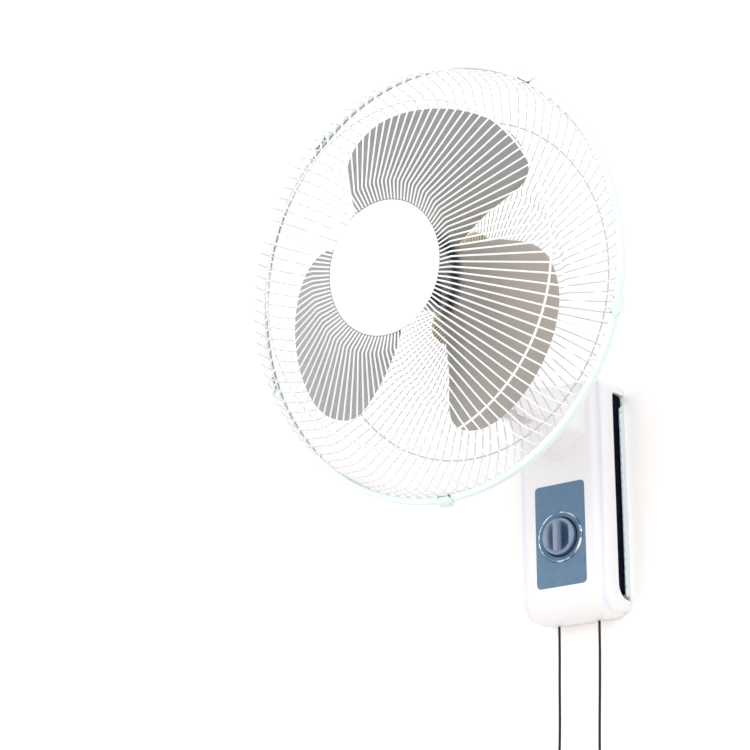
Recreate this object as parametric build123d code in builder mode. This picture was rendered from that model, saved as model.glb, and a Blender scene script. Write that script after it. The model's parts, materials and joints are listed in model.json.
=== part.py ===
# Wall mounted fan: a 450 mm wire guard on a short neck, a three-blade impeller,
# and a wall base with one knob and two pull cords.
#
# Axes: +X to the right of someone facing the fan, +Y into the wall, +Z up.
# Origin: centre of the wall plate's back face, which is where the wall is.
# Lengths are in millimetres, angles in degrees.
from build123d import *
from math import atan2, cos, degrees, radians, sin, tan
import os

os.makedirs("parts", exist_ok=True)

# ------------------------------------------------------------------ fits
run_fit = 0.05        # radial clearance of a turning fit
seat_gap = 0.3        # gap between pieces that move past each other
touch = 0.05          # gap between a flat end and the curved face it meets

# ------------------------------------------------------------------ wall plate
plate_in = 1.0        # side flanges, in from the housing's sides
plate_short = 40.0    # plate's height under the housing's
plate_thick = 2.0
flange_depth = 7.5    # side flanges, out from the wall
flange_slant = 5.0    # their cut corners
latch_hole_r = 1.3
latch_hole_in = 11.0  # from the plate's top
plate_hole_r = 2.75
plate_hole_dx = 56.0
plate_hole_dz = 164.0
hook_dx = 44.0        # between the two hanging hooks
hook_z = 52.0
hook_width = 12.0
hook_reach = 7.0      # out from the plate
hook_lip = 6.0        # upturned end

# ------------------------------------------------------------------ base housing
base_width = 110.0
base_height = 260.0
base_depth = 49.5     # wall to the front land
base_wall = 2.4
base_gap = 0.5        # housing edge to the wall
side_corner_r = 13.0  # corners of the outline
land_width = 82.5     # raised front land, which runs on under the lower end
land_top_in = 10.0    # its upper edge, from the housing's top
land_rise = 4.6
land_foot = 9.0       # width of the sloping step beside the land
underside_r = 26.0    # the front curves under at the lower end
land_corner_r = 13.0
slot_front = 25.0     # the side cut-out, from the front land
slot_top_in = 13.0    # its upper end, from the housing's top
slot_low_in = 35.0    # its lower end, from the housing's lower end
slot_sweep = 16.0
slot_corner_r = 5.0
boss_in_x = 14.5      # housing bosses that stand on the tray, from the outline
boss_in_z = 42.0
boss_r = 4.5
boss_screw_r = 1.5

# ------------------------------------------------------------------ back tray
tray_gap = 0.8        # tray to housing
tray_depth = 30.0
tray_wall = 2.0
tray_rib_pitch = 16.0
tray_rib_out = 0.6
tray_rib_width = 3.0

# ------------------------------------------------------------------ control panel
panel_width = 63.0
panel_height = 112.4
panel_corner_r = 5.0
panel_thick = 1.0
panel_sunk = 0.6
panel_z = -39.2
bezel_r = 28.0
bezel_band = 2.2
bezel_rise = 1.6
bezel_drop = 2.6      # bezel centre under the panel's centre
knob_skirt_r = 21.0
knob_skirt_rise = 5.2
knob_grip_width = 9.0
knob_grip_rise = 12.5
knob_shaft_r = 3.0
knob_shaft_len = 14.0
switch_body = 34.0
switch_depth = 15.0

# ------------------------------------------------------------------ pull cords
cord_r = 1.4
cord_sides = 10
cord_in = 29.7        # cords, in from the housing's sides
cord_y = -18.0
eyelet_r = 3.6
eyelet_flange_r = 4.8
eyelet_flange = 0.6
cord_hole_r = 1.9
cord_top_up = 28.0    # upper end, from the housing's floor
cord_first = 14.0     # straight stretch under the floor
cord_step = 52.0      # between the bends further down
pull_switch_w = 20.0
pull_switch_d = 26.0
pull_switch_h = 32.0
pull_knob_r = 6.5
pull_knob_len = 26.0

# ------------------------------------------------------------------ neck
neck_half = 36.0      # half width at the housing
neck_side_z = 67.0    # lower end of the upright sides
neck_apex_z = 38.0    # lowest point, at the housing
neck_top_z = 112.0
neck_straight = 34.0  # boxy part
arm_start = 62.0
arm_half = 22.0
arm_side_z = 74.0
arm_apex_z = 70.0
arm_top_z = 107.0
arm_reach = 120.0
neck_corner_r = 8.0
neck_keel_r = 18.0    # rounding of the V along its middle
pivot_reach = 100.0   # housing front to the swing axis
post_r = 8.0
pocket_half = 9.0     # hollow under the arm
pocket_top_z = 86.0
pocket_start = 60.0
pocket_end = 113.0

# ------------------------------------------------------------------ swing and tilt
turret_r = 23.0
turret_top_z = 119.0
tilt_z = 131.0        # height of the tilt axis
ear_thick = 6.0
ear_r = 9.0
lug_half = 9.0
lug_r = 10.0
tilt_pin_r = 4.0
tilt_rest = 6.6       # the head looks this far down at rest
axis_offset = 64.3    # tilt axis to the motor's axis
rim_reach = 119.0     # tilt axis to the rim's middle plane, along the motor's axis

# ------------------------------------------------------------------ guard
rim_r = 229.0
rim_width = 8.0       # along the motor's axis
rim_thick = 7.0
rim_chamfer = 2.0
wire = 1.8            # wires are drawn square
wire_count = 108
ring_section = 2.4
ring_in = 50.8        # middle rings, in from the rim
front_ring_n = 52.0
crest_r = 87.0
crest_n = 87.0
disc_r = 68.8
disc_n = 82.0
disc_dome = 4.0
shoulder_in = 16.0    # shoulders of the wires, in from the rim
front_shoulder_n = 33.0
rear_shoulder_n = -29.0
rear_ring_n = -50.0
joggle_r = 117.0
joggle_n = -63.0
joggle_step = 7.0
plate_n = -78.0       # front face of the guard's centre plate
guard_plate_r = 48.0
guard_plate_thick = 2.0
guard_nut_r = 32.0
guard_nut_thick = 8.0

# ------------------------------------------------------------------ motor
motor_plate_r = 55.0
motor_ear_r = 20.0    # three round ears on it
motor_ear_out = 13.0  # their reach past the plate
motor_plate_thick = 4.0
motor_boss_r = 20.0
motor_boss_len = 10.0
motor_front_r = 56.0
motor_mid_r = 52.0
motor_rear_r = 42.0
motor_length = 86.0
motor_wall = 3.0
stator_r = 44.0
stator_len = 34.0
rotor_r = 22.0
rotor_gap = 0.4
shaft_r = 4.0
bearing_r = 9.0
bearing_len = 8.0

# ------------------------------------------------------------------ impeller
blade_count = 3
blade_tip_r = 178.0
blade_thick = 1.8
blade_start = 33.3    # angle of the first leading edge
blade_n0 = -3.8       # leading edge, from the rim's plane
blade_rise = 40.1     # how far it comes forward over 90 degrees
hub_r = 30.0
hub_rear_n = -30.0
hub_front_n = 50.0
hub_wall = 2.5
spinner_r = 17.0
spinner_len = 16.0
spinner_dome = 7.0

# ------------------------------------------------------------------ rim clips
clip_count = 5
clip_first = 53.0
clip_width = 12.0
clip_thick = 1.6
clip_ear = 2.0        # ears of the seat, beside the lever
clip_seat_rise = 1.2
clip_hinge_up = 3.0   # hinge pin, out from the rim
clip_hinge_n = -1.0
clip_pin_r = 0.9
clip_hook = 5.0       # hook, in from the lever
clip_tail = 2.5

# ------------------------------------------------------------------ details
screw_sides = 6       # small screws and their holes are drawn six-sided
pin_sides = 8         # and hinge pins eight-sided
boss_screw_len = 14.0
switch_bush_r = 6.0
neck_screw_r = 2.0
neck_screw_dx = 44.0
neck_screw_dz = 30.0
neck_screw_z = 86.0
neck_screw_len = 12.0
capacitor_z = 26.0
terminal_z = -4.0
terminal_width = 48.0
gland_y = -17.0
gland_up = 32.0       # from the tray's floor
gland_r = 6.0
gland_bore_r = 3.6
post_in_turret = 8.0
post_clip_thick = 1.5
tilt_nut_thick = 4.0
motor_round = 12.0
motor_screw_r = 1.8
motor_screw_ring = 39.0
stator_inset = 12.0
vent_count = 12
vent_in = 14.0
vent_out = 30.0
vent_width = 3.0
hub_boss_r = 8.0
blade_steps = 6
# outline of one blade: share of the tip's radius, degrees after its start
blade_root = 8.0      # leading edge at the hub
blade_lead = ((0.494, 4.3), (0.831, 0.0))
blade_corner = ((0.907, 6.5), (0.952, 15.0))
blade_tip = ((0.984, 37.0), (1.0, 58.0))
blade_trail = ((0.978, 71.0), (0.843, 82.5), (0.646, 90.0), (0.376, 102.0))
blade_sweep = 110.0   # trailing edge at the hub
disc_thick = 2.0
dome_steps = 4        # flats that make up each dome
wire_end_n = 0.5

# places that follow from the sizes above
front_y = -base_depth
shell_depth = base_depth - land_rise
inner_depth = shell_depth - base_wall
pivot_y = front_y - pivot_reach
tilt_c, tilt_s = cos(radians(tilt_rest)), sin(radians(tilt_rest))
head_y = pivot_y - axis_offset * tilt_s - rim_reach * tilt_c
head_z = tilt_z + axis_offset * tilt_c - rim_reach * tilt_s
# the head's own plane: x right, y up, z forward along the motor's axis,
# with its origin in the middle of the rim
head = Plane(origin=(0, head_y, head_z), x_dir=(1, 0, 0), z_dir=(0, -tilt_c, -tilt_s))
head_axis = Axis(head.origin, head.z_dir)
# a plane through that axis: x is the radius, y is the distance forward
head_side = Plane(origin=head.origin, x_dir=head.y_dir, z_dir=head.x_dir)
knob_z = panel_z - bezel_drop
floor_z = -base_height / 2
floor_thick = land_rise + base_wall
roof_z = base_height / 2
plate_width = base_width - 2 * plate_in
plate_height = base_height - plate_short
slot_top = roof_z - slot_top_in
slot_bottom = floor_z + slot_low_in
boss_dx = base_width - 2 * boss_in_x
boss_dz = base_height - 2 * boss_in_z
cord_top_z = floor_z + cord_top_up
cord_dx = base_width - 2 * cord_in
inner_r = rim_r - rim_thick
ring_r = rim_r - ring_in
shoulder_r = rim_r - shoulder_in


def keep(part, name):
    """Label a finished piece and write it under its node name."""
    part.label = name
    export_step(part, f"parts/{name}.step")
    print(f"{name:24s} {len(part.solids()):4d} solids {part.volume:12.1f} mm3")


def dome(radius, base, rise, steps=dome_steps):
    """Points of a shallow dome from its edge to its top: rise falls off with radius squared."""
    rim_to_top = [radius * (1 - k / steps) for k in range(steps + 1)]
    return [(r, base + rise * (1 - (r / radius) ** 2)) for r in rim_to_top]


def turned(profile, plane=head_side, axis=head_axis):
    """Revolve one closed outline of (radius, distance) points."""
    with BuildPart() as piece:
        with BuildSketch(plane):
            with BuildLine():
                Polyline(*profile, close=True)
            make_face()
        revolve(axis=axis)
    return piece.part


# ================================================================== wall plate
# A steel plate with four screw holes, two upturned hooks and a folded flange
# down each side that shows in the housing's cut-outs.
flange_top = plate_height / 2
with BuildPart() as wall_plate:
    with BuildSketch(Plane.XZ):
        RectangleRounded(plate_width, plate_height, 2)
        with GridLocations(plate_hole_dx, plate_hole_dz, 2, 2):
            Circle(plate_hole_r, mode=Mode.SUBTRACT)
    extrude(amount=plate_thick)
    for side in (-1, 1):
        with BuildSketch(Plane.YZ.offset(side * hook_dx / 2)):
            with BuildLine():
                Polyline(
                    (-plate_thick, hook_z),
                    (-plate_thick, hook_z + plate_thick),
                    (-plate_thick - hook_reach + plate_thick, hook_z + plate_thick),
                    (-plate_thick - hook_reach + plate_thick, hook_z + hook_lip),
                    (-plate_thick - hook_reach, hook_z + hook_lip),
                    (-plate_thick - hook_reach, hook_z),
                    close=True,
                )
            make_face()
        extrude(amount=hook_width / 2, both=True)
        with BuildSketch(Plane.YZ.offset(side * (plate_width - plate_thick) / 2)):
            with BuildLine():
                Polyline(
                    (-plate_thick, -flange_top + 3),
                    (-flange_depth, -flange_top + 3 + flange_slant),
                    (-flange_depth, flange_top - 3 - flange_slant),
                    (-plate_thick, flange_top - 3),
                    close=True,
                )
            make_face()
            with Locations((-(plate_thick + flange_depth) / 2, flange_top - latch_hole_in)):
                Circle(latch_hole_r, mode=Mode.SUBTRACT)
        extrude(amount=plate_thick / 2, both=True)
keep(wall_plate.part, "wall_plate")

# ================================================================== back tray
# Black moulding that hangs on the hooks and closes the housing's back. Its
# ribbed sides show through the housing's cut-outs.
tray_half = plate_width / 2 - plate_thick - seat_gap - tray_rib_out
tray_top = roof_z - base_wall - tray_gap - side_corner_r / 2
tray_bottom = floor_z + underside_r
tray_mid = (tray_top + tray_bottom) / 2
tray_high = tray_top - tray_bottom
tray_floor = plate_thick + tray_wall
cord_places = [(-cord_dx / 2, cord_y), (cord_dx / 2, cord_y)]
gland_z = tray_bottom + gland_up
with BuildPart() as back_tray:
    with BuildSketch(Plane.XZ.offset(plate_thick)):
        with Locations((0, tray_mid)):
            RectangleRounded(2 * tray_half, tray_high, 8)
    extrude(amount=tray_depth)
    with BuildSketch(Plane.XZ.offset(tray_floor)):
        with Locations((0, tray_mid)):
            RectangleRounded(2 * (tray_half - tray_wall), tray_high - 2 * tray_wall, 8 - tray_wall)
    extrude(amount=tray_depth, mode=Mode.SUBTRACT)
    # slots that the hooks pass through, and holes for the housing's screws
    with BuildSketch(Plane.XZ.offset(plate_thick)):
        with Locations((-hook_dx / 2, hook_z + hook_lip / 2), (hook_dx / 2, hook_z + hook_lip / 2)):
            Rectangle(hook_width + 2, hook_lip + 2)
        with GridLocations(boss_dx, boss_dz, 2, 2):
            RegularPolygon(boss_screw_r + 0.2, screw_sides)
    extrude(amount=tray_wall, mode=Mode.SUBTRACT)
    # ribs along both sides
    rib_rows = int((tray_high - 24) // tray_rib_pitch)
    with BuildSketch(Plane.XZ.offset(tray_floor)):
        for side in (-1, 1):
            with Locations((side * (tray_half + tray_rib_out / 2), tray_mid)):
                with GridLocations(1, tray_rib_pitch, 1, rib_rows):
                    Rectangle(tray_rib_out + 0.4, tray_rib_width)
    extrude(amount=tray_depth - tray_wall)
    # holes for the two cords
    with BuildSketch(Plane.XY.offset(tray_bottom)):
        with Locations(*cord_places):
            Circle(eyelet_r)
    extrude(amount=tray_wall, mode=Mode.SUBTRACT)
    # side hole for the mains gland
    with BuildSketch(Plane.YZ.offset(-tray_half - 2)):
        with Locations((gland_y, gland_z)):
            Circle(gland_r)
    extrude(amount=tray_wall + 4, mode=Mode.SUBTRACT)
keep(back_tray.part, "back_tray")

# ================================================================== base housing
# Open-backed white moulding: a rounded shell, a raised front land that runs on
# round the lower end, and a long cut-out in each side.
bodies = {}
for name, depth, low, high, radius, half in (
    ("shell", shell_depth, floor_z + land_rise, roof_z, underside_r - land_rise, base_width / 2),
    ("cavity", inner_depth, floor_z + land_rise + base_wall, roof_z - base_wall,
     underside_r - land_rise - base_wall, base_width / 2 - base_wall),
    ("land", base_depth, floor_z, roof_z - land_top_in, underside_r, land_width / 2),
):
    with BuildPart() as body:
        with BuildSketch(Plane.YZ) as profile:
            with BuildLine():
                Polyline((-depth, low + radius), (-depth, high), (-base_gap, high), (-base_gap, low), (-depth + radius, low))
                RadiusArc((-depth + radius, low), (-depth, low + radius), -radius)
            make_face()
        extrude(amount=half, both=True)
        if name == "land":
            # sloping step on both sides, as deep as the land is high
            with BuildSketch(Plane.YZ.offset(half)):
                add(profile.sketch)
            extrude(amount=land_foot, taper=degrees(atan2(land_rise, land_foot)))
            mirror(about=Plane.YZ)
            outline = (2 * half + 2 * land_foot, high + land_foot - low, land_corner_r)
        else:
            outline = (2 * half, high - low, side_corner_r - (roof_z - high))
        with BuildSketch(Plane.XZ):
            with Locations((0, low + outline[1] / 2)):
                RectangleRounded(*outline)
        extrude(amount=base_depth, mode=Mode.INTERSECT)
    bodies[name] = body.part

with BuildPart() as base_cover:
    add(bodies["shell"])
    add(bodies["land"])
    # sloping step over the top of the land
    with BuildSketch(Plane.YZ):
        with BuildLine():
            Polyline(
                (-base_depth, roof_z - land_top_in),
                (-shell_depth, roof_z - 1),
                (-shell_depth + 1, roof_z - land_top_in),
                close=True,
            )
        make_face()
    extrude(amount=land_width / 2, both=True)
    add(bodies["cavity"], mode=Mode.SUBTRACT)
    # long cut-out in each side, open to the wall
    with BuildSketch(Plane.YZ) as cut_out:
        with BuildLine():
            Polyline(
                (front_y + slot_front, slot_bottom),
                (front_y + slot_front, slot_top),
                (1, slot_top),
                (1, slot_bottom - slot_sweep),
                (front_y + slot_front + slot_sweep, slot_bottom - slot_sweep),
            )
            RadiusArc(
                (front_y + slot_front + slot_sweep, slot_bottom - slot_sweep),
                (front_y + slot_front, slot_bottom),
                -slot_sweep,
            )
        make_face()
        fillet(cut_out.vertices().sort_by(Axis.Y)[-2:].sort_by(Axis.X)[0], slot_corner_r)
    extrude(amount=base_width, both=True, mode=Mode.SUBTRACT)
    # bosses that stand on the tray, with their screw holes
    with BuildSketch(Plane.XZ.offset(tray_floor)):
        with GridLocations(boss_dx, boss_dz, 2, 2):
            Circle(boss_r)
    extrude(amount=inner_depth - tray_floor)
    with BuildSketch(Plane.XZ.offset(tray_floor)):
        with GridLocations(boss_dx, boss_dz, 2, 2):
            RegularPolygon(boss_screw_r, screw_sides)
    extrude(amount=boss_screw_len, mode=Mode.SUBTRACT)
    # recess for the control panel and the hole for the switch
    with BuildSketch(Plane.XZ.offset(base_depth - panel_sunk)):
        with Locations((0, panel_z)):
            RectangleRounded(panel_width + 2 * run_fit, panel_height + 2 * run_fit, panel_corner_r)
    extrude(amount=panel_sunk, mode=Mode.SUBTRACT)
    with BuildSketch(Plane.XZ.offset(inner_depth)):
        with Locations((0, knob_z)):
            Circle(switch_bush_r + run_fit)
        with Locations((0, neck_screw_z)):
            with GridLocations(neck_screw_dx, neck_screw_dz, 2, 2):
                RegularPolygon(neck_screw_r + run_fit, screw_sides)
    extrude(amount=base_depth - inner_depth, mode=Mode.SUBTRACT)
    # cord holes in the floor
    with BuildSketch(Plane.XY.offset(floor_z)):
        with Locations(*cord_places):
            Circle(eyelet_r + run_fit)
    extrude(amount=floor_thick, mode=Mode.SUBTRACT)
keep(base_cover.part, "base_cover")

# screws that hold the housing to the tray
with BuildPart() as cover_screws:
    with BuildSketch(Plane.XZ.offset(tray_floor - tray_wall)):
        with GridLocations(boss_dx, boss_dz, 2, 2):
            RegularPolygon(boss_screw_r - run_fit, screw_sides)
    extrude(amount=boss_screw_len)
keep(cover_screws.part, "cover_screws")

# ================================================================== inside the base
with BuildPart() as capacitor:
    with BuildSketch(Plane.XZ.offset(tray_floor)):
        with Locations((0, capacitor_z)):
            RectangleRounded(38, 26, 3)
    extrude(amount=18)
keep(capacitor.part, "capacitor")

with BuildPart() as terminal_block:
    with BuildSketch(Plane.XZ.offset(tray_floor)):
        with Locations((0, terminal_z)):
            Rectangle(terminal_width, 14)
    extrude(amount=8)
    with BuildSketch(Plane.XZ.offset(tray_floor + 8)):
        with Locations((0, terminal_z)):
            with GridLocations(terminal_width / 6, 1, 6, 1):
                Rectangle(terminal_width / 6 - 1.5, 9)
    extrude(amount=6)
keep(terminal_block.part, "terminal_block")

# mains gland in the tray's left side
with BuildPart() as mains_gland:
    with BuildSketch(Plane.YZ.offset(-tray_half - 0.3)):
        with Locations((gland_y, gland_z)):
            Circle(gland_r - run_fit)
    extrude(amount=12)
    with BuildSketch(Plane.YZ.offset(-tray_half + tray_wall)):
        with Locations((gland_y, gland_z)):
            RegularPolygon(gland_r + 3, 6)
    extrude(amount=5)
    with BuildSketch(Plane.YZ.offset(-tray_half - 0.3)):
        with Locations((gland_y, gland_z)):
            Circle(gland_bore_r)
    extrude(amount=12, mode=Mode.SUBTRACT)
keep(mains_gland.part, "mains_gland")

# two pull switches that stand on the tray's floor, over the cord holes
pull_switch_z = tray_bottom + tray_wall + seat_gap
pull_switch_mid = tray_floor + pull_switch_d / 2
for side, name in ((-1, "swing_pull_switch"), (1, "speed_pull_switch")):
    with BuildPart() as pull_switch:
        with BuildSketch(Plane.XY.offset(pull_switch_z)):
            with Locations((side * cord_dx / 2, -pull_switch_mid)):
                Rectangle(pull_switch_w, pull_switch_d)
        extrude(amount=pull_switch_h)
        with BuildSketch(Plane.XY.offset(pull_switch_z)):
            with Locations((side * cord_dx / 2, cord_y)):
                Circle(cord_hole_r)
        extrude(amount=cord_top_z - pull_switch_z + 3, mode=Mode.SUBTRACT)
    keep(pull_switch.part, name)

# eyelets that line the two holes in the floor
with BuildPart() as cord_eyelets:
    with BuildSketch(Plane.XY.offset(floor_z - eyelet_flange)):
        with Locations(*cord_places):
            Circle(eyelet_flange_r)
    extrude(amount=eyelet_flange)
    with BuildSketch(Plane.XY.offset(floor_z)):
        with Locations(*cord_places):
            Circle(eyelet_r)
    extrude(amount=floor_thick + 1)
    with BuildSketch(Plane.XY.offset(floor_z - eyelet_flange)):
        with Locations(*cord_places):
            Circle(cord_hole_r)
    extrude(amount=eyelet_flange + floor_thick + 1, mode=Mode.SUBTRACT)
keep(cord_eyelets.part, "cord_eyelets")

# ================================================================== control panel
panel_back = base_depth - panel_sunk
panel_face = panel_back + panel_thick
with BuildPart() as control_panel:
    with BuildSketch(Plane.XZ.offset(panel_back)):
        with Locations((0, panel_z)):
            RectangleRounded(panel_width, panel_height, panel_corner_r)
        with Locations((0, knob_z)):
            Circle(switch_bush_r + run_fit, mode=Mode.SUBTRACT)
    extrude(amount=panel_thick)
keep(control_panel.part, "control_panel")

with BuildPart() as knob_bezel:
    with BuildSketch(Plane.XZ.offset(panel_face)):
        with Locations((0, knob_z)):
            Circle(bezel_r)
            Circle(bezel_r - bezel_band, mode=Mode.SUBTRACT)
    extrude(amount=bezel_rise, taper=20)
keep(knob_bezel.part, "knob_bezel")

with BuildPart() as rotary_switch:
    with BuildSketch(Plane.XZ.offset(inner_depth - switch_depth)):
        with Locations((0, knob_z)):
            RectangleRounded(switch_body, switch_body, 3)
    extrude(amount=switch_depth)
    with BuildSketch(Plane.XZ.offset(inner_depth)):
        with Locations((0, knob_z)):
            Circle(switch_bush_r)
    extrude(amount=panel_face - inner_depth)
    with BuildSketch(Plane.XZ.offset(panel_face - knob_shaft_len)):
        with Locations((0, knob_z)):
            Circle(knob_shaft_r + run_fit)
    extrude(amount=knob_shaft_len, mode=Mode.SUBTRACT)
keep(rotary_switch.part, "rotary_switch")

# turning knob: a round skirt with an upright grip across it
knob_back = panel_face + seat_gap
with BuildPart() as control_knob:
    with BuildSketch(Plane.XZ.offset(knob_back)):
        with Locations((0, knob_z)):
            Circle(knob_skirt_r)
    extrude(amount=knob_skirt_rise, taper=8)
    with BuildSketch(Plane.XZ.offset(knob_back + knob_skirt_rise)):
        with Locations((0, knob_z)):
            SlotOverall(2 * knob_skirt_r - 5, knob_grip_width, rotation=90)
    extrude(amount=knob_grip_rise - knob_skirt_rise, taper=6)
    with BuildSketch(Plane.XZ.offset(knob_back - knob_shaft_len)):
        with Locations((0, knob_z)):
            Circle(knob_shaft_r)
    extrude(amount=knob_shaft_len)
keep(control_knob.part, "control_knob")

# ================================================================== pull cords
# Each cord leaves its switch, passes its eyelet and hangs nearly straight.
# The knob at its end is moulded on.
cord_sways = {
    "swing": ((0, 0), (-1.2, -1.0), (-0.8, -3.2), (-4.0, -4.6), (-3.9, -6.2)),
    "speed": ((0, 0), (-1.2, -1.0), (-2.4, -3.2), (-2.8, -4.6), (-3.9, -6.2)),
}


def cord_route(name, x):
    """Start inside the switch, then one point for each bend of the hanging cord."""
    points = [(x, cord_y, cord_top_z)]
    for k, (across, out) in enumerate(cord_sways[name]):
        points.append((x + across, cord_y + out, floor_z - cord_first - k * cord_step))
    return points


def corner_radii(route):
    """0.45 of the shorter run over the tangent of half the turn, per corner."""
    radii = []
    for a, b, c in zip(route, route[1:], route[2:]):
        first = Vector(*b) - Vector(*a)
        second = Vector(*c) - Vector(*b)
        turn = first.get_angle(second)
        radii.append(0.45 * min(first.length, second.length) / tan(radians(turn / 2)))
    return radii


for side, name in ((-1, "swing"), (1, "speed")):
    route = cord_route(name, side * cord_dx / 2)
    radii = corner_radii(route)
    with BuildPart() as cord:
        with BuildLine() as path:
            FilletPolyline(*route, radius=radii)
        with BuildSketch(Plane(origin=route[0], z_dir=(0, 0, -1))) as section:
            RegularPolygon(cord_r, cord_sides)
        sweep(path=path.wires()[0])
    length = path.wires()[0].length
    print(f"{name} cord {length:.1f} mm, radii", [round(r) for r in radii])
    print("   section x length", round(section.sketch.area * length, 1), "volume", round(cord.part.volume, 1))
    keep(cord.part, f"{name}_cord")

    end = Vector(*route[-1])
    down = (end - Vector(*route[-2])).normalized()
    along = Plane(origin=end, x_dir=down.cross(Vector(0, 1, 0)), z_dir=down.cross(Vector(0, 1, 0)).cross(down))
    with BuildPart() as pull_knob:
        with BuildSketch(along):
            with BuildLine():
                Polyline(
                    (0, 0),
                    (cord_r + 1.2, 0),
                    (pull_knob_r * 0.8, pull_knob_len * 0.22),
                    (pull_knob_r, pull_knob_len * 0.5),
                    (pull_knob_r * 0.92, pull_knob_len * 0.85),
                    (pull_knob_r * 0.6, pull_knob_len),
                    (0, pull_knob_len),
                    close=True,
                )
            make_face()
        revolve(axis=Axis(end, down))
    keep(pull_knob.part, f"{name}_pull_knob")

# ================================================================== neck
# Boxy root with a V-shaped underside that draws in to an arm. The arm is
# hollow underneath, where the swing post is held.
with BuildPart() as neck:
    for reach, half, side_z, apex_z, top_z in (
        (0, neck_half, neck_side_z, neck_apex_z, neck_top_z),
        (neck_straight, neck_half, neck_side_z, (neck_apex_z + arm_apex_z) / 2, neck_top_z),
        (arm_start, arm_half + 2, arm_side_z, arm_apex_z, arm_top_z),
        (arm_reach, arm_half, arm_side_z, arm_apex_z, arm_top_z),
    ):
        with BuildSketch(Plane.XZ.offset(base_depth + reach)) as section:
            with BuildLine():
                Polyline(
                    (-half, side_z), (0, apex_z), (half, side_z), (half, top_z), (-half, top_z), close=True
                )
            make_face()
            fillet(section.vertices().filter_by(lambda v: abs(v.X) > 1), neck_corner_r)
            fillet(section.vertices().sort_by(Axis.Y)[0], neck_keel_r)
    loft(ruled=True)
    # hollow under the arm
    with BuildSketch(Plane.XY.offset(pocket_top_z)):
        with Locations((0, front_y - (pocket_start + pocket_end) / 2)):
            Rectangle(2 * pocket_half, pocket_end - pocket_start)
        with Locations((0, pivot_y)):
            Circle(post_r + 5)
    extrude(amount=-(pocket_top_z - neck_apex_z), mode=Mode.SUBTRACT)
    # bearing hole for the swing post
    with BuildSketch(Plane.XY.offset(pocket_top_z)):
        with Locations((0, pivot_y)):
            Circle(post_r + run_fit)
    extrude(amount=arm_top_z - pocket_top_z + 1, mode=Mode.SUBTRACT)
    # holes for the four screws that hold it to the housing
    with BuildSketch(Plane.XZ.offset(base_depth)):
        with Locations((0, neck_screw_z)):
            with GridLocations(neck_screw_dx, neck_screw_dz, 2, 2):
                RegularPolygon(neck_screw_r, screw_sides)
    extrude(amount=neck_screw_len, mode=Mode.SUBTRACT)
keep(neck.part, "neck")

with BuildPart() as neck_screws:
    with BuildSketch(Plane.XZ.offset(inner_depth)):
        with Locations((0, neck_screw_z)):
            with GridLocations(neck_screw_dx, neck_screw_dz, 2, 2):
                RegularPolygon(neck_screw_r - run_fit, screw_sides)
    extrude(amount=base_depth - inner_depth + neck_screw_len)
    with BuildSketch(Plane.XZ.offset(inner_depth - 2.4)):
        with Locations((0, neck_screw_z)):
            with GridLocations(neck_screw_dx, neck_screw_dz, 2, 2):
                RegularPolygon(2 * neck_screw_r, screw_sides)
    extrude(amount=2.4)
keep(neck_screws.part, "neck_screws")

# ================================================================== swing turret
# Turns on the neck with its steel post; its two ears carry the tilt bolt.
turret_z = arm_top_z + seat_gap
with BuildPart() as turret:
    with BuildSketch(Plane.XY.offset(turret_z)):
        with Locations((0, pivot_y)):
            Circle(turret_r)
    extrude(amount=turret_top_z - turret_z, taper=6)
    for side in (-1, 1):
        with BuildSketch(Plane.YZ.offset(side * (lug_half + seat_gap + ear_thick / 2))):
            with Locations((pivot_y, tilt_z)):
                Circle(ear_r)
            with Locations((pivot_y, (tilt_z + turret_top_z) / 2 - 1)):
                Rectangle(2 * ear_r, tilt_z - turret_top_z + 2)
        extrude(amount=ear_thick / 2, both=True)
    with BuildSketch(Plane.YZ):
        with Locations((pivot_y, tilt_z)):
            Circle(tilt_pin_r + run_fit)
    extrude(amount=2 * turret_r, both=True, mode=Mode.SUBTRACT)
    with BuildSketch(Plane.XY.offset(turret_z)):
        with Locations((0, pivot_y)):
            Circle(post_r)
    extrude(amount=post_in_turret, mode=Mode.SUBTRACT)
keep(turret.part, "swing_turret")

clip_z = pocket_top_z - seat_gap
with BuildPart() as post:
    with BuildSketch(Plane.XY.offset(clip_z - post_clip_thick - 2)):
        with Locations((0, pivot_y)):
            Circle(post_r)
    extrude(amount=turret_z + post_in_turret - (clip_z - post_clip_thick - 2))
keep(post.part, "swing_post")

with BuildPart() as post_clip:
    with BuildSketch(Plane.XY.offset(clip_z - post_clip_thick)):
        with Locations((0, pivot_y)):
            Circle(post_r + 4)
            Circle(post_r + run_fit, mode=Mode.SUBTRACT)
    extrude(amount=post_clip_thick)
keep(post_clip.part, "post_clip")

# tilt bolt, head on the right and nut on the left
ear_face = lug_half + seat_gap + ear_thick
with BuildPart() as tilt_bolt:
    with BuildSketch(Plane.YZ.offset(-ear_face - tilt_nut_thick - 1)):
        with Locations((pivot_y, tilt_z)):
            Circle(tilt_pin_r)
    extrude(amount=2 * ear_face + tilt_nut_thick + 1)
    with BuildSketch(Plane.YZ.offset(ear_face)):
        with Locations((pivot_y, tilt_z)):
            Circle(ear_r - 1.5)
    extrude(amount=3.5, taper=20)
keep(tilt_bolt.part, "tilt_bolt")

with BuildPart() as tilt_nut:
    with BuildSketch(Plane.YZ.offset(-ear_face - tilt_nut_thick)):
        with Locations((pivot_y, tilt_z)):
            RegularPolygon(ear_r - 1.5, 6)
            Circle(tilt_pin_r + run_fit, mode=Mode.SUBTRACT)
    extrude(amount=tilt_nut_thick)
keep(tilt_nut.part, "tilt_nut")

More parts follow.
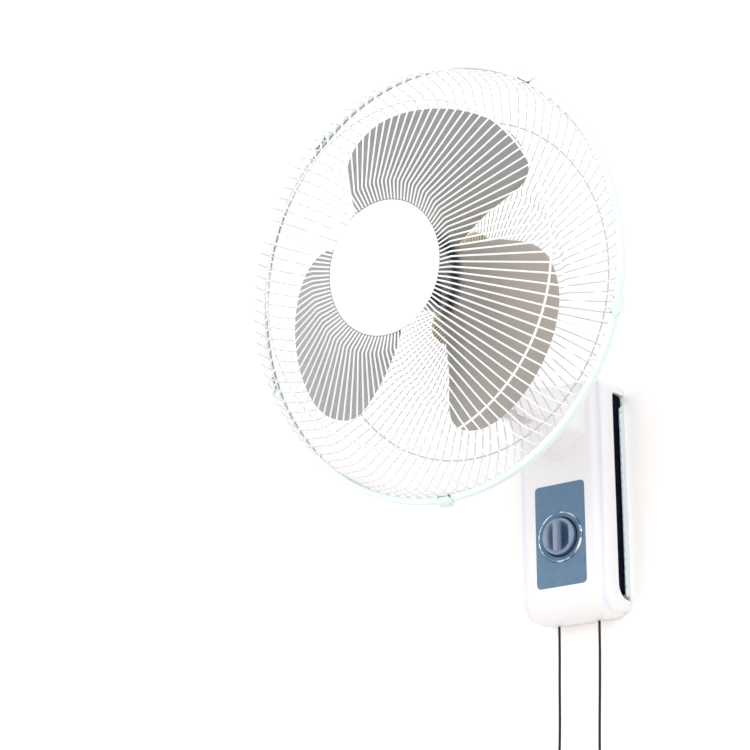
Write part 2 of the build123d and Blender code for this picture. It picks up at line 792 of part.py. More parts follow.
# ================================================================== motor
motor_n = plate_n - guard_plate_thick - motor_plate_thick   # back of the front plate
motor_end = motor_n - motor_length
motor_mid_n = -rim_reach
with BuildPart() as motor_cover:
    # smooth shell, widest at the front
    with BuildSketch(head_side):
        with BuildLine():
            Polyline(
                (0, motor_end),
                (0, motor_n),
                (motor_front_r, motor_n),
                (motor_front_r, motor_n - 8),
                (motor_mid_r, motor_mid_n),
                (motor_rear_r, motor_end + motor_round),
                (motor_rear_r - 0.3 * motor_round, motor_end + 0.3 * motor_round),
                (motor_rear_r - motor_round, motor_end),
                close=True,
            )
        make_face()
    revolve(axis=head_axis)
    # tilt lug underneath
    with BuildSketch(head_side):
        with BuildLine():
            Polyline(
                (-axis_offset, motor_mid_n - lug_r),
                (-motor_mid_r + 6, motor_mid_n - lug_r - 8),
                (-motor_mid_r + 6, motor_mid_n + lug_r + 8),
                (-axis_offset, motor_mid_n + lug_r),
            )
            ThreePointArc(
                (-axis_offset, motor_mid_n + lug_r),
                (-axis_offset - lug_r, motor_mid_n),
                (-axis_offset, motor_mid_n - lug_r),
            )
        make_face()
    extrude(amount=lug_half, both=True)
    with BuildSketch(head_side):
        with Locations((-axis_offset, motor_mid_n)):
            Circle(tilt_pin_r + run_fit)
    extrude(amount=2 * lug_half, both=True, mode=Mode.SUBTRACT)
    # hollow for the motor
    with BuildSketch(head_side):
        with BuildLine():
            Polyline(
                (0, motor_end + motor_wall),
                (0, motor_n),
                (motor_front_r - motor_wall, motor_n),
                (motor_front_r - motor_wall, motor_n - 8),
                (motor_mid_r - motor_wall, motor_mid_n),
                (motor_rear_r - motor_wall - 2, motor_end + motor_wall + 8),
                (motor_rear_r - motor_wall - 10, motor_end + motor_wall),
                close=True,
            )
        make_face()
    revolve(axis=head_axis, mode=Mode.SUBTRACT)
    # cooling slots in the back
    with BuildSketch(head.offset(motor_end)):
        with PolarLocations((vent_in + vent_out) / 2, vent_count):
            Rectangle(vent_out - vent_in, vent_width)
    extrude(amount=motor_wall, mode=Mode.SUBTRACT)
keep(motor_cover.part, "motor_cover")

# zinc plated plate in front of the motor, with the boss that carries the guard
with BuildPart() as motor_plate:
    with BuildSketch(head_side):
        with BuildLine():
            Polyline(
                (bearing_r, motor_n),
                (motor_plate_r, motor_n),
                (motor_plate_r, motor_n + motor_plate_thick),
                (motor_boss_r, motor_n + motor_plate_thick),
                (motor_boss_r, motor_n + motor_plate_thick + motor_boss_len),
                (shaft_r + 1, motor_n + motor_plate_thick + motor_boss_len),
                (shaft_r + 1, motor_n + motor_plate_thick + motor_boss_len - 2),
                (bearing_r, motor_n + motor_plate_thick + motor_boss_len - 2),
                close=True,
            )
        make_face()
    revolve(axis=head_axis)
    with BuildSketch(head.offset(motor_n)):
        with PolarLocations(motor_plate_r + motor_ear_out - motor_ear_r, 3, 90):
            Circle(motor_ear_r)
    extrude(amount=motor_plate_thick)
    with BuildSketch(head.offset(motor_n)):
        with PolarLocations(motor_screw_ring, 4, 45):
            RegularPolygon(motor_screw_r + run_fit, screw_sides)
    extrude(amount=motor_plate_thick, mode=Mode.SUBTRACT)
keep(motor_plate.part, "motor_front_plate")

# long screws that clamp the plate to the stator
stator_front = motor_n - stator_inset
with BuildPart() as motor_screws:
    with BuildSketch(head.offset(stator_front - stator_len)):
        with PolarLocations(motor_screw_ring, 4, 45):
            RegularPolygon(motor_screw_r, screw_sides)
    extrude(amount=stator_len + stator_inset + motor_plate_thick - guard_plate_thick)
keep(motor_screws.part, "motor_screws")

# laminated stator with its windings
with BuildPart() as stator:
    with BuildSketch(head.offset(stator_front - stator_len)):
        Circle(stator_r)
        Circle(rotor_r + rotor_gap, mode=Mode.SUBTRACT)
        with PolarLocations(motor_screw_ring, 4, 45):
            RegularPolygon(motor_screw_r + run_fit, screw_sides, mode=Mode.SUBTRACT)
    extrude(amount=stator_len)
    with BuildSketch(head.offset(stator_front)):
        Circle(rotor_r + 11)
        Circle(rotor_r + 3, mode=Mode.SUBTRACT)
    extrude(amount=stator_inset - 1)
keep(stator.part, "motor_stator")

# bearings, front one in the plate's boss and rear one in the cover's end wall
front_bearing_n = motor_n + motor_plate_thick + motor_boss_len - 2 - bearing_len
with BuildPart() as bearings:
    for back in (front_bearing_n, motor_end + motor_wall):
        with BuildSketch(head.offset(back)):
            Circle(bearing_r - run_fit)
            Circle(shaft_r + run_fit, mode=Mode.SUBTRACT)
        extrude(amount=bearing_len)
keep(bearings.part, "motor_bearings")

# ================================================================== impeller
with BuildPart() as rotor:
    with BuildSketch(head.offset(stator_front - stator_len)):
        Circle(rotor_r)
        Circle(shaft_r, mode=Mode.SUBTRACT)
    extrude(amount=stator_len)
keep(rotor.part, "motor_rotor")

with BuildPart() as shaft:
    with BuildSketch(head.offset(motor_end + motor_wall + seat_gap)):
        Circle(shaft_r)
    extrude(amount=hub_front_n + spinner_len - 4 - (motor_end + motor_wall + seat_gap))
keep(shaft.part, "motor_shaft")

# One blade: a thin ruled helicoid, loft through radial lines, trimmed to the
# blade's rounded outline. Built in the head's own axes.
def polar(radius, angle):
    return (radius * cos(radians(angle)), radius * sin(radians(angle)))


sweep_angles = [blade_start - 6 + k * (blade_sweep + 12) / blade_steps for k in range(blade_steps + 1)]
with BuildPart() as blade:
    for angle in sweep_angles:
        height = blade_n0 + blade_rise * (angle - blade_start) / 90
        radial = Plane(
            origin=(0, 0, height),
            x_dir=(cos(radians(angle)), sin(radians(angle)), 0),
            z_dir=(-sin(radians(angle)), cos(radians(angle)), 0),
        )
        with BuildSketch(radial):
            with Locations(((hub_r - 2 + blade_tip_r + 6) / 2, 0)):
                Rectangle(blade_tip_r + 8 - hub_r, blade_thick)
    loft(ruled=True)
    with BuildSketch(Plane.XY.offset(-80)):
        with BuildLine():
            hub_lead = polar(hub_r - 1.5, blade_start + blade_root)
            hub_trail = polar(hub_r - 1.5, blade_start + blade_sweep)
            lead, corner, tip, trail = [
                [polar(blade_tip_r * share, blade_start + turn) for share, turn in points]
                for points in (blade_lead, blade_corner, blade_tip, blade_trail)
            ]
            Spline(hub_lead, *lead)
            ThreePointArc(lead[-1], *corner)
            ThreePointArc(corner[-1], *tip)
            Spline(tip[-1], *trail, hub_trail)
            Line(hub_trail, hub_lead)
        make_face()
    extrude(amount=160, mode=Mode.INTERSECT)

with BuildPart(head) as impeller:
    with PolarLocations(0, blade_count):
        add(blade.part)
    with BuildSketch(head_side):
        with BuildLine():
            Polyline(
                (shaft_r + run_fit, hub_front_n),
                (hub_r - 4, hub_front_n),
                (hub_r, hub_front_n - 4),
                (hub_r, hub_rear_n),
                (hub_r - hub_wall, hub_rear_n),
                (hub_r - hub_wall, hub_front_n - hub_wall - 2),
                (hub_boss_r, hub_front_n - hub_wall - 2),
                (hub_boss_r, hub_rear_n + 6),
                (shaft_r + run_fit, hub_rear_n + 6),
                close=True,
            )
        make_face()
    revolve(axis=head_axis)
keep(impeller.part, "impeller")

with BuildPart() as spinner:
    with BuildSketch(head_side):
        with BuildLine():
            Polyline(
                (0, hub_front_n),
                (spinner_r, hub_front_n),
                *dome(spinner_r, hub_front_n + spinner_len - spinner_dome, spinner_dome),
                close=True,
            )
        make_face()
    revolve(axis=head_axis)
    with BuildSketch(head.offset(hub_front_n)):
        Circle(shaft_r)
    extrude(amount=spinner_len - 4, mode=Mode.SUBTRACT)
keep(spinner.part, "blade_nut")

# ================================================================== guard
# Every wire is one bent strip of square section, its outline worked out from
# the bend points of its centre line.
def strip(points, width):
    """Outline of a bent strip: both sides of the line, mitred at each bend."""
    line = [Vector(*p) for p in points]
    left, right = [], []
    for i, here in enumerate(line):
        before = (here - line[i - 1]).normalized() if i else (line[1] - here).normalized()
        after = (line[i + 1] - here).normalized() if i < len(line) - 1 else before
        middle = (before + after).normalized()
        across = Vector(-middle.Y, middle.X)
        reach = width / 2 / max(0.3, middle.dot(before))
        left.append(here + across * reach)
        right.append(here - across * reach)
    return [(p.X, p.Y) for p in left + right[::-1]]


wire_end_r = inner_r - touch - wire / 2
front_line = [
    (disc_r + touch + wire / 2, disc_n - disc_thick / 2),
    (crest_r, crest_n),
    (ring_r, front_ring_n + wire),
    (shoulder_r, front_shoulder_n),
    (wire_end_r, wire_end_n),
]
rear_line = [
    (guard_plate_r - 8, plate_n + wire / 2),
    (joggle_r - joggle_step / 2, joggle_n - joggle_step),
    (joggle_r + joggle_step / 2, joggle_n),
    (ring_r, rear_ring_n),
    (shoulder_r, rear_shoulder_n),
    (wire_end_r, -wire_end_n),
]
for name, line in (("front_guard_wires", front_line), ("rear_guard_wires", rear_line)):
    with BuildPart() as one_wire:
        with BuildSketch(Plane.XZ):
            with BuildLine():
                Polyline(*strip(line, wire), close=True)
            make_face()
        extrude(amount=wire / 2, both=True)
    with BuildPart(head) as wires:
        with PolarLocations(0, wire_count):
            add(one_wire.part)
    keep(wires.part, name)

for name, n in (
    ("front_guard_ring", front_ring_n - ring_section / 2 - 0.4),
    ("rear_guard_ring", rear_ring_n - wire - ring_section / 2 - 0.4),
):
    keep(
        turned(
            [
                (ring_r - ring_section / 2, n - ring_section / 2),
                (ring_r + ring_section / 2, n - ring_section / 2),
                (ring_r + ring_section / 2, n + ring_section / 2),
                (ring_r - ring_section / 2, n + ring_section / 2),
            ]
        ),
        name,
    )

# rim that both sets of wires end in
keep(
    turned(
        [
            (inner_r, -rim_width / 2),
            (rim_r - rim_chamfer, -rim_width / 2),
            (rim_r, -rim_width / 2 + rim_chamfer),
            (rim_r, rim_width / 2 - rim_chamfer),
            (rim_r - rim_chamfer, rim_width / 2),
            (inner_r, rim_width / 2),
        ]
    ),
    "rim_band",
)

# domed disc in the middle of the front
keep(turned([(0, disc_n - disc_thick), (disc_r, disc_n - disc_thick), *dome(disc_r, disc_n, disc_dome)]), "guard_disc")

# plate that the rear wires are welded to, clamped by the plastic nut
with BuildPart() as guard_plate:
    with BuildSketch(head.offset(plate_n - guard_plate_thick)):
        Circle(guard_plate_r)
        Circle(motor_boss_r + run_fit, mode=Mode.SUBTRACT)
        with PolarLocations(motor_screw_ring, 4, 45):
            RegularPolygon(motor_screw_r + 1, screw_sides, mode=Mode.SUBTRACT)
    extrude(amount=guard_plate_thick)
keep(guard_plate.part, "guard_centre_plate")

with BuildPart() as guard_nut:
    with BuildSketch(head.offset(plate_n)):
        Circle(guard_nut_r)
        with PolarLocations(guard_nut_r, 8):
            Circle(3)
        Circle(motor_boss_r + run_fit, mode=Mode.SUBTRACT)
    extrude(amount=guard_nut_thick)
keep(guard_nut.part, "guard_nut")

# ================================================================== rim clips
# Five spring levers that hold the front guard to the rim. Each turns on a pin
# between the two ears of its seat and hooks over the rim's front edge.
hinge_r = rim_r + clip_hinge_up
seat_half = clip_width / 2 + seat_gap + clip_ear
seat_flat = rim_width / 2 - rim_chamfer
with BuildPart() as clip_seat:
    with BuildSketch(Plane.XZ):
        with BuildLine():
            Polyline(
                (rim_r + touch, clip_hinge_n - seat_flat),
                (hinge_r + clip_pin_r + 1, clip_hinge_n - 1),
                (hinge_r + clip_pin_r + 1, clip_hinge_n + 1),
                (rim_r + touch, clip_hinge_n + seat_flat),
                close=True,
            )
        make_face()
    extrude(amount=seat_half, both=True)
    with BuildSketch(Plane.XZ):
        with Locations((rim_r + clip_seat_rise + 5, clip_hinge_n)):
            Rectangle(10, 10)
    extrude(amount=clip_width / 2 + seat_gap, both=True, mode=Mode.SUBTRACT)
    with BuildSketch(Plane.XZ):
        with Locations((hinge_r, clip_hinge_n)):
            RegularPolygon(clip_pin_r + run_fit, pin_sides, major_radius=False)
    extrude(amount=seat_half, both=True, mode=Mode.SUBTRACT)
with BuildPart(head) as clip_seats:
    with PolarLocations(0, clip_count, clip_first):
        add(clip_seat.part)
keep(clip_seats.part, "rim_clip_seats")

hook_n = rim_width / 2 + seat_gap + clip_thick / 2
with BuildPart() as clip_lever:
    with BuildSketch(Plane.XZ):
        with BuildLine():
            Polyline(
                *strip(
                    [
                        (hinge_r + clip_tail, clip_hinge_n - clip_tail - 1),
                        (hinge_r, clip_hinge_n - 1),
                        (hinge_r, hook_n),
                        (hinge_r - clip_hook, hook_n),
                    ],
                    clip_thick,
                ),
                close=True,
            )
        make_face()
    extrude(amount=clip_width / 2, both=True)
    with BuildSketch(Plane.XZ):
        with Locations((hinge_r, clip_hinge_n)):
            RegularPolygon(clip_pin_r, pin_sides)
    extrude(amount=seat_half - 0.2, both=True)
for k in range(clip_count):
    with BuildPart(head) as lever:
        with PolarLocations(0, 1, clip_first + k * 360 / clip_count):
            add(clip_lever.part)
    keep(lever.part, f"rim_clip_{k + 1}")
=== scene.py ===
# A wall mounted fan: a 458 mm wire guard with three smoky blades, carried by a
# short neck on a white wall base with a control knob and two pull cords.
import json
from math import cos, radians, sin, tau

import bmesh
import bpy
import numpy as np
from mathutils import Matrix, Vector


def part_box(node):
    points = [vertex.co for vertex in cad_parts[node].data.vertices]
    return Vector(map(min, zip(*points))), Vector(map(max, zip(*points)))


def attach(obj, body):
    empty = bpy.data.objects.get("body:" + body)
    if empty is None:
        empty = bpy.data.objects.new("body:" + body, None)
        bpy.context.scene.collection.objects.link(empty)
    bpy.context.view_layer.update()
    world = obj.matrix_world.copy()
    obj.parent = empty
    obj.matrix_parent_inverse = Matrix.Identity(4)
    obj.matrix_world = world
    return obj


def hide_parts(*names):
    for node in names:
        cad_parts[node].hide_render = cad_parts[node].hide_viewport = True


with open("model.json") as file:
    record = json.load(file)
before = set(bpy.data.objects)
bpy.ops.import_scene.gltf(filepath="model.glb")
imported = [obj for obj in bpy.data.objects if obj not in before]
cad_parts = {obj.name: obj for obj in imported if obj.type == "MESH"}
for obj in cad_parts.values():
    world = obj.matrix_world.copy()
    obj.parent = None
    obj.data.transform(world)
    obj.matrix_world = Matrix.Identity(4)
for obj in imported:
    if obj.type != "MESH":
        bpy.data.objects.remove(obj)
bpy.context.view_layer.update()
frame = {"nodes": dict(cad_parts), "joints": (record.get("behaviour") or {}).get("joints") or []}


# ---------------------------------------------------------------- camera
# It stands low and to the right of the fan and looks up at it, which shows the
# right side and the underside of the base.
turn, climb = radians(38.19), radians(-18.64)
away = Vector((sin(turn) * cos(climb), -cos(turn) * cos(climb), sin(climb)))
camera = bpy.data.objects.new("camera", bpy.data.cameras.new("camera"))
camera.data.sensor_width, camera.data.lens = 36.0, 105.6
camera.location = (1.2518, -1.9607, -0.6274)
camera.rotation_mode = "QUATERNION"
camera.rotation_quaternion = (-away).to_track_quat("-Z", "Y")
bpy.context.collection.objects.link(camera)
bpy.context.scene.camera = camera
bpy.context.scene.view_settings.view_transform = "Standard"


# ---------------------------------------------------------------- pull cords
# Two thin black braided cords, one for the speed and one for the swing. Each
# leaves its eyelet in the housing's floor and hangs nearly straight.
def colour(code):
    """sRGB hex to linear: c / 12.92 up to 0.04045, else ((c + 0.055) / 1.055) to the power 2.4."""
    c = np.array([int(code[k:k + 2], 16) for k in (0, 2, 4)]) / 255
    return (*np.where(c <= 0.04045, c / 12.92, ((c + 0.055) / 1.055) ** 2.4).tolist(), 1.0)


def add(tree, kind, sockets=(), **settings):
    """Adds one shader node; each socket gets a value or the output that it is linked to."""
    made = tree.nodes.new("ShaderNode" + kind)
    for name, value in settings.items():
        setattr(made, name, value)
    for socket, value in dict(sockets).items():
        if isinstance(value, bpy.types.NodeSocket):
            tree.links.new(value, made.inputs[socket])
        else:
            made.inputs[socket].default_value = value
    return made


def blank(name):
    """A new material with an empty node tree."""
    made = bpy.data.materials.new(name)
    made.use_nodes = True
    made.node_tree.nodes.clear()
    return made, made.node_tree


# Braided polyester, black and dull; the braid's 3 mm pitch shows as slanted ridges.
cord_braid, t = blank("braided_polyester")
place = add(t, "TexCoord").outputs["Object"]
slant = add(t, "Mapping", {"Vector": place, "Rotation": (0.6, 0.6, 0)}).outputs["Vector"]
braid = add(t, "TexWave", {"Vector": slant, "Scale": 105.0, "Distortion": 1.2}, bands_direction="Z")
tone = add(t, "MixRGB", {"Fac": braid.outputs["Fac"], "Color1": colour("060709"), "Color2": colour("15171B")})
rise = add(t, "Bump", {"Height": braid.outputs["Fac"], "Strength": 0.5, "Distance": 0.0003})
yarn = add(t, "BsdfPrincipled", {"Base Color": tone.outputs["Color"], "Normal": rise.outputs["Normal"],
                                 "Roughness": 0.75, "Sheen Weight": 0.15})
add(t, "OutputMaterial", {"Surface": yarn.outputs["BSDF"]})

cord_width = 0.0028
swing_route = [(-0.0253, -0.018, -0.102), (-0.0253, -0.018, -0.144), (-0.0265, -0.019, -0.196),
               (-0.0261, -0.0212, -0.248), (-0.0293, -0.0226, -0.300), (-0.0292, -0.0242, -0.352)]
speed_route = [(0.0253, -0.018, -0.102), (0.0253, -0.018, -0.144), (0.0241, -0.019, -0.196),
               (0.0229, -0.0212, -0.248), (0.0225, -0.0226, -0.300), (0.0214, -0.0242, -0.352)]
for side, route in (("swing", swing_route), ("speed", speed_route)):
    line = bpy.data.curves.new(f"{side}_cord_braid", "CURVE")
    line.dimensions, line.bevel_depth, line.bevel_resolution, line.use_fill_caps = "3D", cord_width / 2, 3, True
    spline = line.splines.new("NURBS")
    spline.points.add(len(route) - 1)
    for point, spot in zip(spline.points, route):
        point.co = (*spot, 1.0)
    spline.order_u, spline.use_endpoint_u, spline.resolution_u = 3, True, 12
    line.materials.append(cord_braid)
    cord = bpy.data.objects.new(f"{side}_cord_braid", line)
    bpy.context.collection.objects.link(cord)
    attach(cord, f"{side}_pull")
    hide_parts(f"{side}_cord")


# ---------------------------------------------------------------- pull knobs
# A black turned-looking grip moulded on the end of each cord, narrow at the
# cord, widest half way down and closed by a rounded end.
def moulded(name, light, dark, patch, grain, rough, depth=0.00004, ior=1.5):
    """Moulded plastic: two close tones in soft patches, a fine grain, and a gloss that wanders with the
    patches. Patch and grain are sizes in metres, depth is the grain's."""
    made, tree = blank(name)
    spot = add(tree, "TexCoord").outputs["Object"]
    soft = add(tree, "TexNoise", {"Vector": spot, "Scale": 1 / patch, "Detail": 3.0}).outputs["Fac"]
    fine = add(tree, "TexNoise", {"Vector": spot, "Scale": 1 / grain, "Detail": 2.0}).outputs["Fac"]
    mix = add(tree, "MixRGB", {"Fac": soft, "Color1": colour(light), "Color2": colour(dark)}).outputs["Color"]
    gloss = add(tree, "MapRange", {"Value": soft, "To Min": rough * 0.85,
                                   "To Max": rough * 1.2}).outputs["Result"]
    bump = add(tree, "Bump", {"Height": fine, "Strength": 0.6, "Distance": depth}).outputs["Normal"]
    shader = add(tree, "BsdfPrincipled", {"Base Color": mix, "Roughness": gloss, "Normal": bump, "IOR": ior})
    add(tree, "OutputMaterial", {"Surface": shader.outputs["BSDF"]})
    return made


def surface(name, points, faces, material, body, node=None, slot=None, sharp=35):
    """A mesh piece from point and face arrays, doubles merged and faces outwards, riding on its body."""
    mesh = bpy.data.meshes.new(name)
    mesh.from_pydata(np.asarray(points, float).reshape(-1, 3).tolist(), [], list(faces))
    work = bmesh.new()
    work.from_mesh(mesh)
    bmesh.ops.remove_doubles(work, verts=work.verts, dist=2e-6)
    bmesh.ops.recalc_face_normals(work, faces=work.faces)
    work.to_mesh(mesh)
    work.free()
    mesh.polygons.foreach_set("use_smooth", np.ones(len(mesh.polygons), bool))
    mesh.set_sharp_from_angle(angle=radians(sharp))
    mesh.materials.append(material)
    piece = bpy.data.objects.new(name, mesh)
    bpy.context.collection.objects.link(piece)
    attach(piece, body)
    if node:
        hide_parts(*([node] if isinstance(node, str) else node))
    return piece


def quads(rows, columns, wrap=True):
    """Four corners of every cell of a rows by columns grid; wrap joins the last column to the first."""
    r, c = np.meshgrid(np.arange(rows - 1), np.arange(columns if wrap else columns - 1), indexing="ij")
    nxt = (c + 1) % columns
    here, below = r * columns, (r + 1) * columns
    return np.stack([here + c, here + nxt, below + nxt, below + c], -1).reshape(-1, 4)


def turned(profile, centre, axis, steps=64):
    """Points (radius, distance) carried round an axis: centre + distance * axis + radius * (u cos a + v sin a),
    with u and v square to the axis."""
    p, w = np.asarray(profile, float), np.asarray(axis, float)
    u = np.cross(w, (0.0, 0.0, 1.0)) if abs(w[2]) < 0.9 else np.cross(w, (0.0, 1.0, 0.0))
    u /= np.linalg.norm(u)
    v = np.cross(w, u)
    a = np.arange(steps) * tau / steps
    ring = np.cos(a)[:, None] * u + np.sin(a)[:, None] * v
    return np.asarray(centre) + p[:, None, 1:] * w + p[:, None, :1] * ring[None], quads(len(p), steps)


def eased(corners, steps=6):
    """A smooth profile through the corners: a Catmull-Rom curve, which leaves each corner along the line
    between its neighbours."""
    c = np.asarray(corners, float)
    c = np.vstack([2 * c[0] - c[1], c, 2 * c[-1] - c[-2]])
    s = np.linspace(0, 1, steps, endpoint=False)[None, :, None]
    a, b, d, e = (c[k:len(c) - 3 + k, None] for k in range(4))
    curve = 0.5 * (2 * b + (d - a) * s + (2 * a - 5 * b + 4 * d - e) * s**2 + (3 * b - 3 * d + e - a) * s**3)
    return np.vstack([curve.reshape(-1, 2), c[-2]])


# Black polystyrene, smooth from a polished mould: a small clear highlight.
pull_plastic = moulded("pull_knob_polystyrene", "16171B", "0B0C0F", 0.02, 0.0006, 0.3)
grip_side = eased([(0.0026, 0), (0.0040, 0.0030), (0.0056, 0.0075), (0.0063, 0.0130), (0.0061, 0.0190),
                   (0.0053, 0.0235), (0.0035, 0.0255)])
grip_profile = np.vstack([(0, 0), grip_side, (0.0018, 0.0259), (0, 0.026)])
for side, route in (("swing", swing_route), ("speed", speed_route)):
    end, before = np.array(route[-1]), np.array(route[-2])
    down = (end - before) / np.linalg.norm(end - before)
    surface(f"{side}_pull_grip", *turned(grip_profile, end, down, 32), pull_plastic, f"{side}_pull",
            f"{side}_pull_knob", "pull_black")


# ---------------------------------------------------------------- wall plate
# Stamped steel sheet that hangs on four wall screws. Its side flanges are folded
# forwards and show in the long cut-outs of the housing's sides; their front edges
# are pinked in shallow round teeth.
def dress(material, *names):
    """Gives CAD nodes their material."""
    for name in names:
        slots = frame["nodes"][name].data.materials
        slots.clear()
        slots.append(material)


# Sheet steel under a thin primer: pale and bluish, with a dull even sheen.
primed = moulded("primed_sheet_steel", "E9F1F5", "DAE6EC", 0.009, 0.0009, 0.5)
dress(primed, "wall_plate")
# A strip of teeth along each flange, open at its two ends: its front edge lies
# tooth_deep |sin(pi z / tooth_pitch)|^0.6 in front of the teeth's roots. Sizes in millimetres.
tooth_pitch, tooth_deep, tooth_root, strip_back = 9.6, 1.7, -7.3, -5.5
strip_inner, strip_outer, strip_rows = 53.2, 54.06, 401
tooth_z = np.linspace(-107.0, 101.0, strip_rows)
tooth = np.abs(np.sin(tooth_z * np.pi / tooth_pitch)) ** 0.6
back_y, lip_y = np.full(strip_rows, strip_back), tooth_root - tooth_deep * tooth
for side, name in ((1, "right"), (-1, "left")):
    edges = ((strip_inner, back_y), (strip_inner, lip_y), (strip_outer, lip_y), (strip_outer, back_y))
    lines = [np.stack([np.full(strip_rows, side * face), depth_y, tooth_z], -1) for face, depth_y in edges]
    surface(f"wall_plate_teeth_{name}", np.stack(lines, 1).reshape(-1, 3) / 1000, quads(strip_rows, 4),
            primed, "base", None, "steel", 40)


# ---------------------------------------------------------------- back tray
# Black moulded tray behind the white housing. Its ribs show through the long
# cut-out in the side, where it is nearly all in shadow.

# Textured black ABS, darkened to a navy near-black that is partly painted shade: it throws back next to no
# light, so the slot reads as one dark line.
tray_abs = moulded("tray_abs_textured", "0B0F24", "070A18", 0.03, 0.0008, 0.7, 0.00008, 1.12)
dress(tray_abs, "back_tray")


# ---------------------------------------------------------------- base housing
# One white ABS moulding, open to the wall, with a raised land down its front
# that runs on round the lower end. Screws hold it to the tray.

# ABS from a polished mould: bright white with a broad soft gloss.
housing_abs = moulded("housing_abs_gloss", "F8F8FA", "F3F3F7", 0.11, 0.0016, 0.3, 0.00002, 1.54)


def shaded(piece, name, code, value):
    """Mixes a second colour into the piece's material by an attribute of its own; value gives the share of it
    at points in metres."""
    spots = np.empty(len(piece.data.vertices) * 3)
    piece.data.vertices.foreach_get("co", spots)
    piece.data.attributes.new(name, "FLOAT", "POINT").data.foreach_set("value", value(spots.reshape(-1, 3)))
    tree = piece.data.materials[0].node_tree
    base = next(n for n in tree.nodes if n.type == "BSDF_PRINCIPLED").inputs["Base Color"]
    part = add(tree, "Attribute", attribute_name=name).outputs["Fac"]
    mixed = add(tree, "MixRGB", {"Fac": part, "Color1": base.links[0].from_socket, "Color2": colour(code)})
    tree.links.new(mixed.outputs["Color"], base)


def thickened(piece, thickness, offset=0.0):
    """A live wall of this thickness: offset 0 lays it to both sides of the surface, -1 inwards."""
    sheet = piece.modifiers.new("wall", "SOLIDIFY")
    sheet.thickness, sheet.offset = thickness, offset


def bevelled(piece, width, angle, segments=2):
    """A live bevel of this width on the edges that turn by more than the angle, in degrees."""
    edge = piece.modifiers.new("edges", "BEVEL")
    edge.width, edge.segments, edge.limit_method, edge.angle_limit = width, segments, "ANGLE", radians(angle)
    return edge


def ramp(t, soft=0.16):
    """0 below 0, 1 above 1 and straight between, with both bends rounded over soft by a parabola."""
    low = (np.clip(t + soft, 0, 2 * soft)) ** 2 / (4 * soft) + np.clip(t - soft, 0, None)
    high = (np.clip(t - 1 + soft, 0, 2 * soft)) ** 2 / (4 * soft) + np.clip(t - 1 - soft, 0, None)
    return low - high


def corner(a, start, radius):
    """How far a round corner of this radius, which begins at start, has dropped at a."""
    return radius - np.sqrt(np.clip(radius**2 - np.clip(a - start, 0, radius) ** 2, 0, None))


# The front is a grid: each column is one upright cut through the shell, from the
# wall along the top, down the front, round under and back to the wall; the land
# is added along the cut's normal. Sizes in millimetres.
half_width, top, low_end, shell_front, wall_gap = 55.0, 130.0, -125.4, 44.9, 0.5
# Corner radii: top and low are seen from the front, side from above, round_ from the side.
top_corner, low_corner, side_corner, round_top, round_low = 13.0, 6.0, 4.0, 4.0, 21.4
# The land's corners are centred at land_side and land_end, and its foot slopes over foot_width.
land_rise, land_corner, land_side, land_end, foot_from, foot_width = 4.6, 13.0, 37.25, 116.0, 1.2, 7.8
# Rows lie close together over the first near_top under the top, where the land begins.
near_top = 17.0
quarter = np.linspace(0, tau / 4, 10)
rounds = [half_width - radius + radius * np.sin(quarter) for radius in (top_corner, low_corner, side_corner)]
half_x = np.unique(np.concatenate([np.linspace(0, 36, 10), np.linspace(land_side, 52, 34), *rounds]).round(4))
x = np.concatenate([-half_x[:0:-1], half_x])[None, :]
top_z = top - corner(np.abs(x), half_width - top_corner, top_corner)
low_z = low_end + corner(np.abs(x), half_width - low_corner, low_corner)
depth = shell_front - corner(np.abs(x), half_width - side_corner, side_corner)
run, near, far = (np.linspace(0, end, count)[:, None] for end, count in ((1, 6), (near_top, 30), (1, 16)))
turn_top, turn_low = (np.linspace(0, tau / 4, count)[:, None] for count in (8, 22))
cut_y = np.vstack([-wall_gap - run[:-1] * (depth - round_top - wall_gap),
                   -(depth - round_top) - round_top * np.sin(turn_top),
                   -depth + 0 * near[1:], -depth + 0 * far[1:],
                   -(depth - round_low) - round_low * np.cos(turn_low[1:]),
                   -(depth - round_low) + run[1:] * (depth - round_low - wall_gap)])
front_top, front_low = top_z - round_top, low_z + round_low
cut_z = np.vstack([top_z + 0 * run[:-1], front_top + round_top * np.cos(turn_top), front_top - near[1:],
                   front_top - near_top + far[1:] * (front_low - front_top + near_top),
                   low_z + round_low * (1 - np.sin(turn_low[1:])), low_z + 0 * run[1:]])
top_rows, turn_rows, floor_rows = len(run) - 1, len(turn_top), len(run) - 1
bend_from = len(cut_y) - floor_rows - (len(turn_low) - 1)
tilt_down = np.concatenate([np.zeros(bend_from), turn_low[1:, 0], np.full(floor_rows, tau / 4)])[:, None]
on_front = np.concatenate([np.zeros(top_rows), np.clip(np.sin(turn_top[:, 0]) * 1.0001, 0, 1) ** 2,
                           np.ones(len(cut_y) - top_rows - turn_rows)])[:, None]
past_x, past_z = np.abs(x) - land_side, cut_z - land_end
inside = (land_corner - np.hypot(np.clip(past_x, 0, None), np.clip(past_z, 0, None))
          - np.clip(np.maximum(past_x, past_z), None, 0))
land = land_rise * ramp((inside - foot_from) / foot_width)
under = np.minimum(land, np.clip(land_rise - corner(np.abs(x), land_side, land_corner), 0, None))
share = np.sin(tilt_down) ** 2
land = (land * (1 - share) + under * share) * on_front
front = np.stack([x + 0 * land, cut_y - land * np.cos(tilt_down), cut_z - land * np.sin(tilt_down)], -1)
# The floor rises on its way back to the wall.
floor_rise, floor_front, floor_deep = 3.4, -23.5, 23.0
floor_y = cut_y[-floor_rows:]
front[-floor_rows:, :, 2] += floor_rise * np.clip((floor_y - floor_front) / floor_deep, 0, 1)
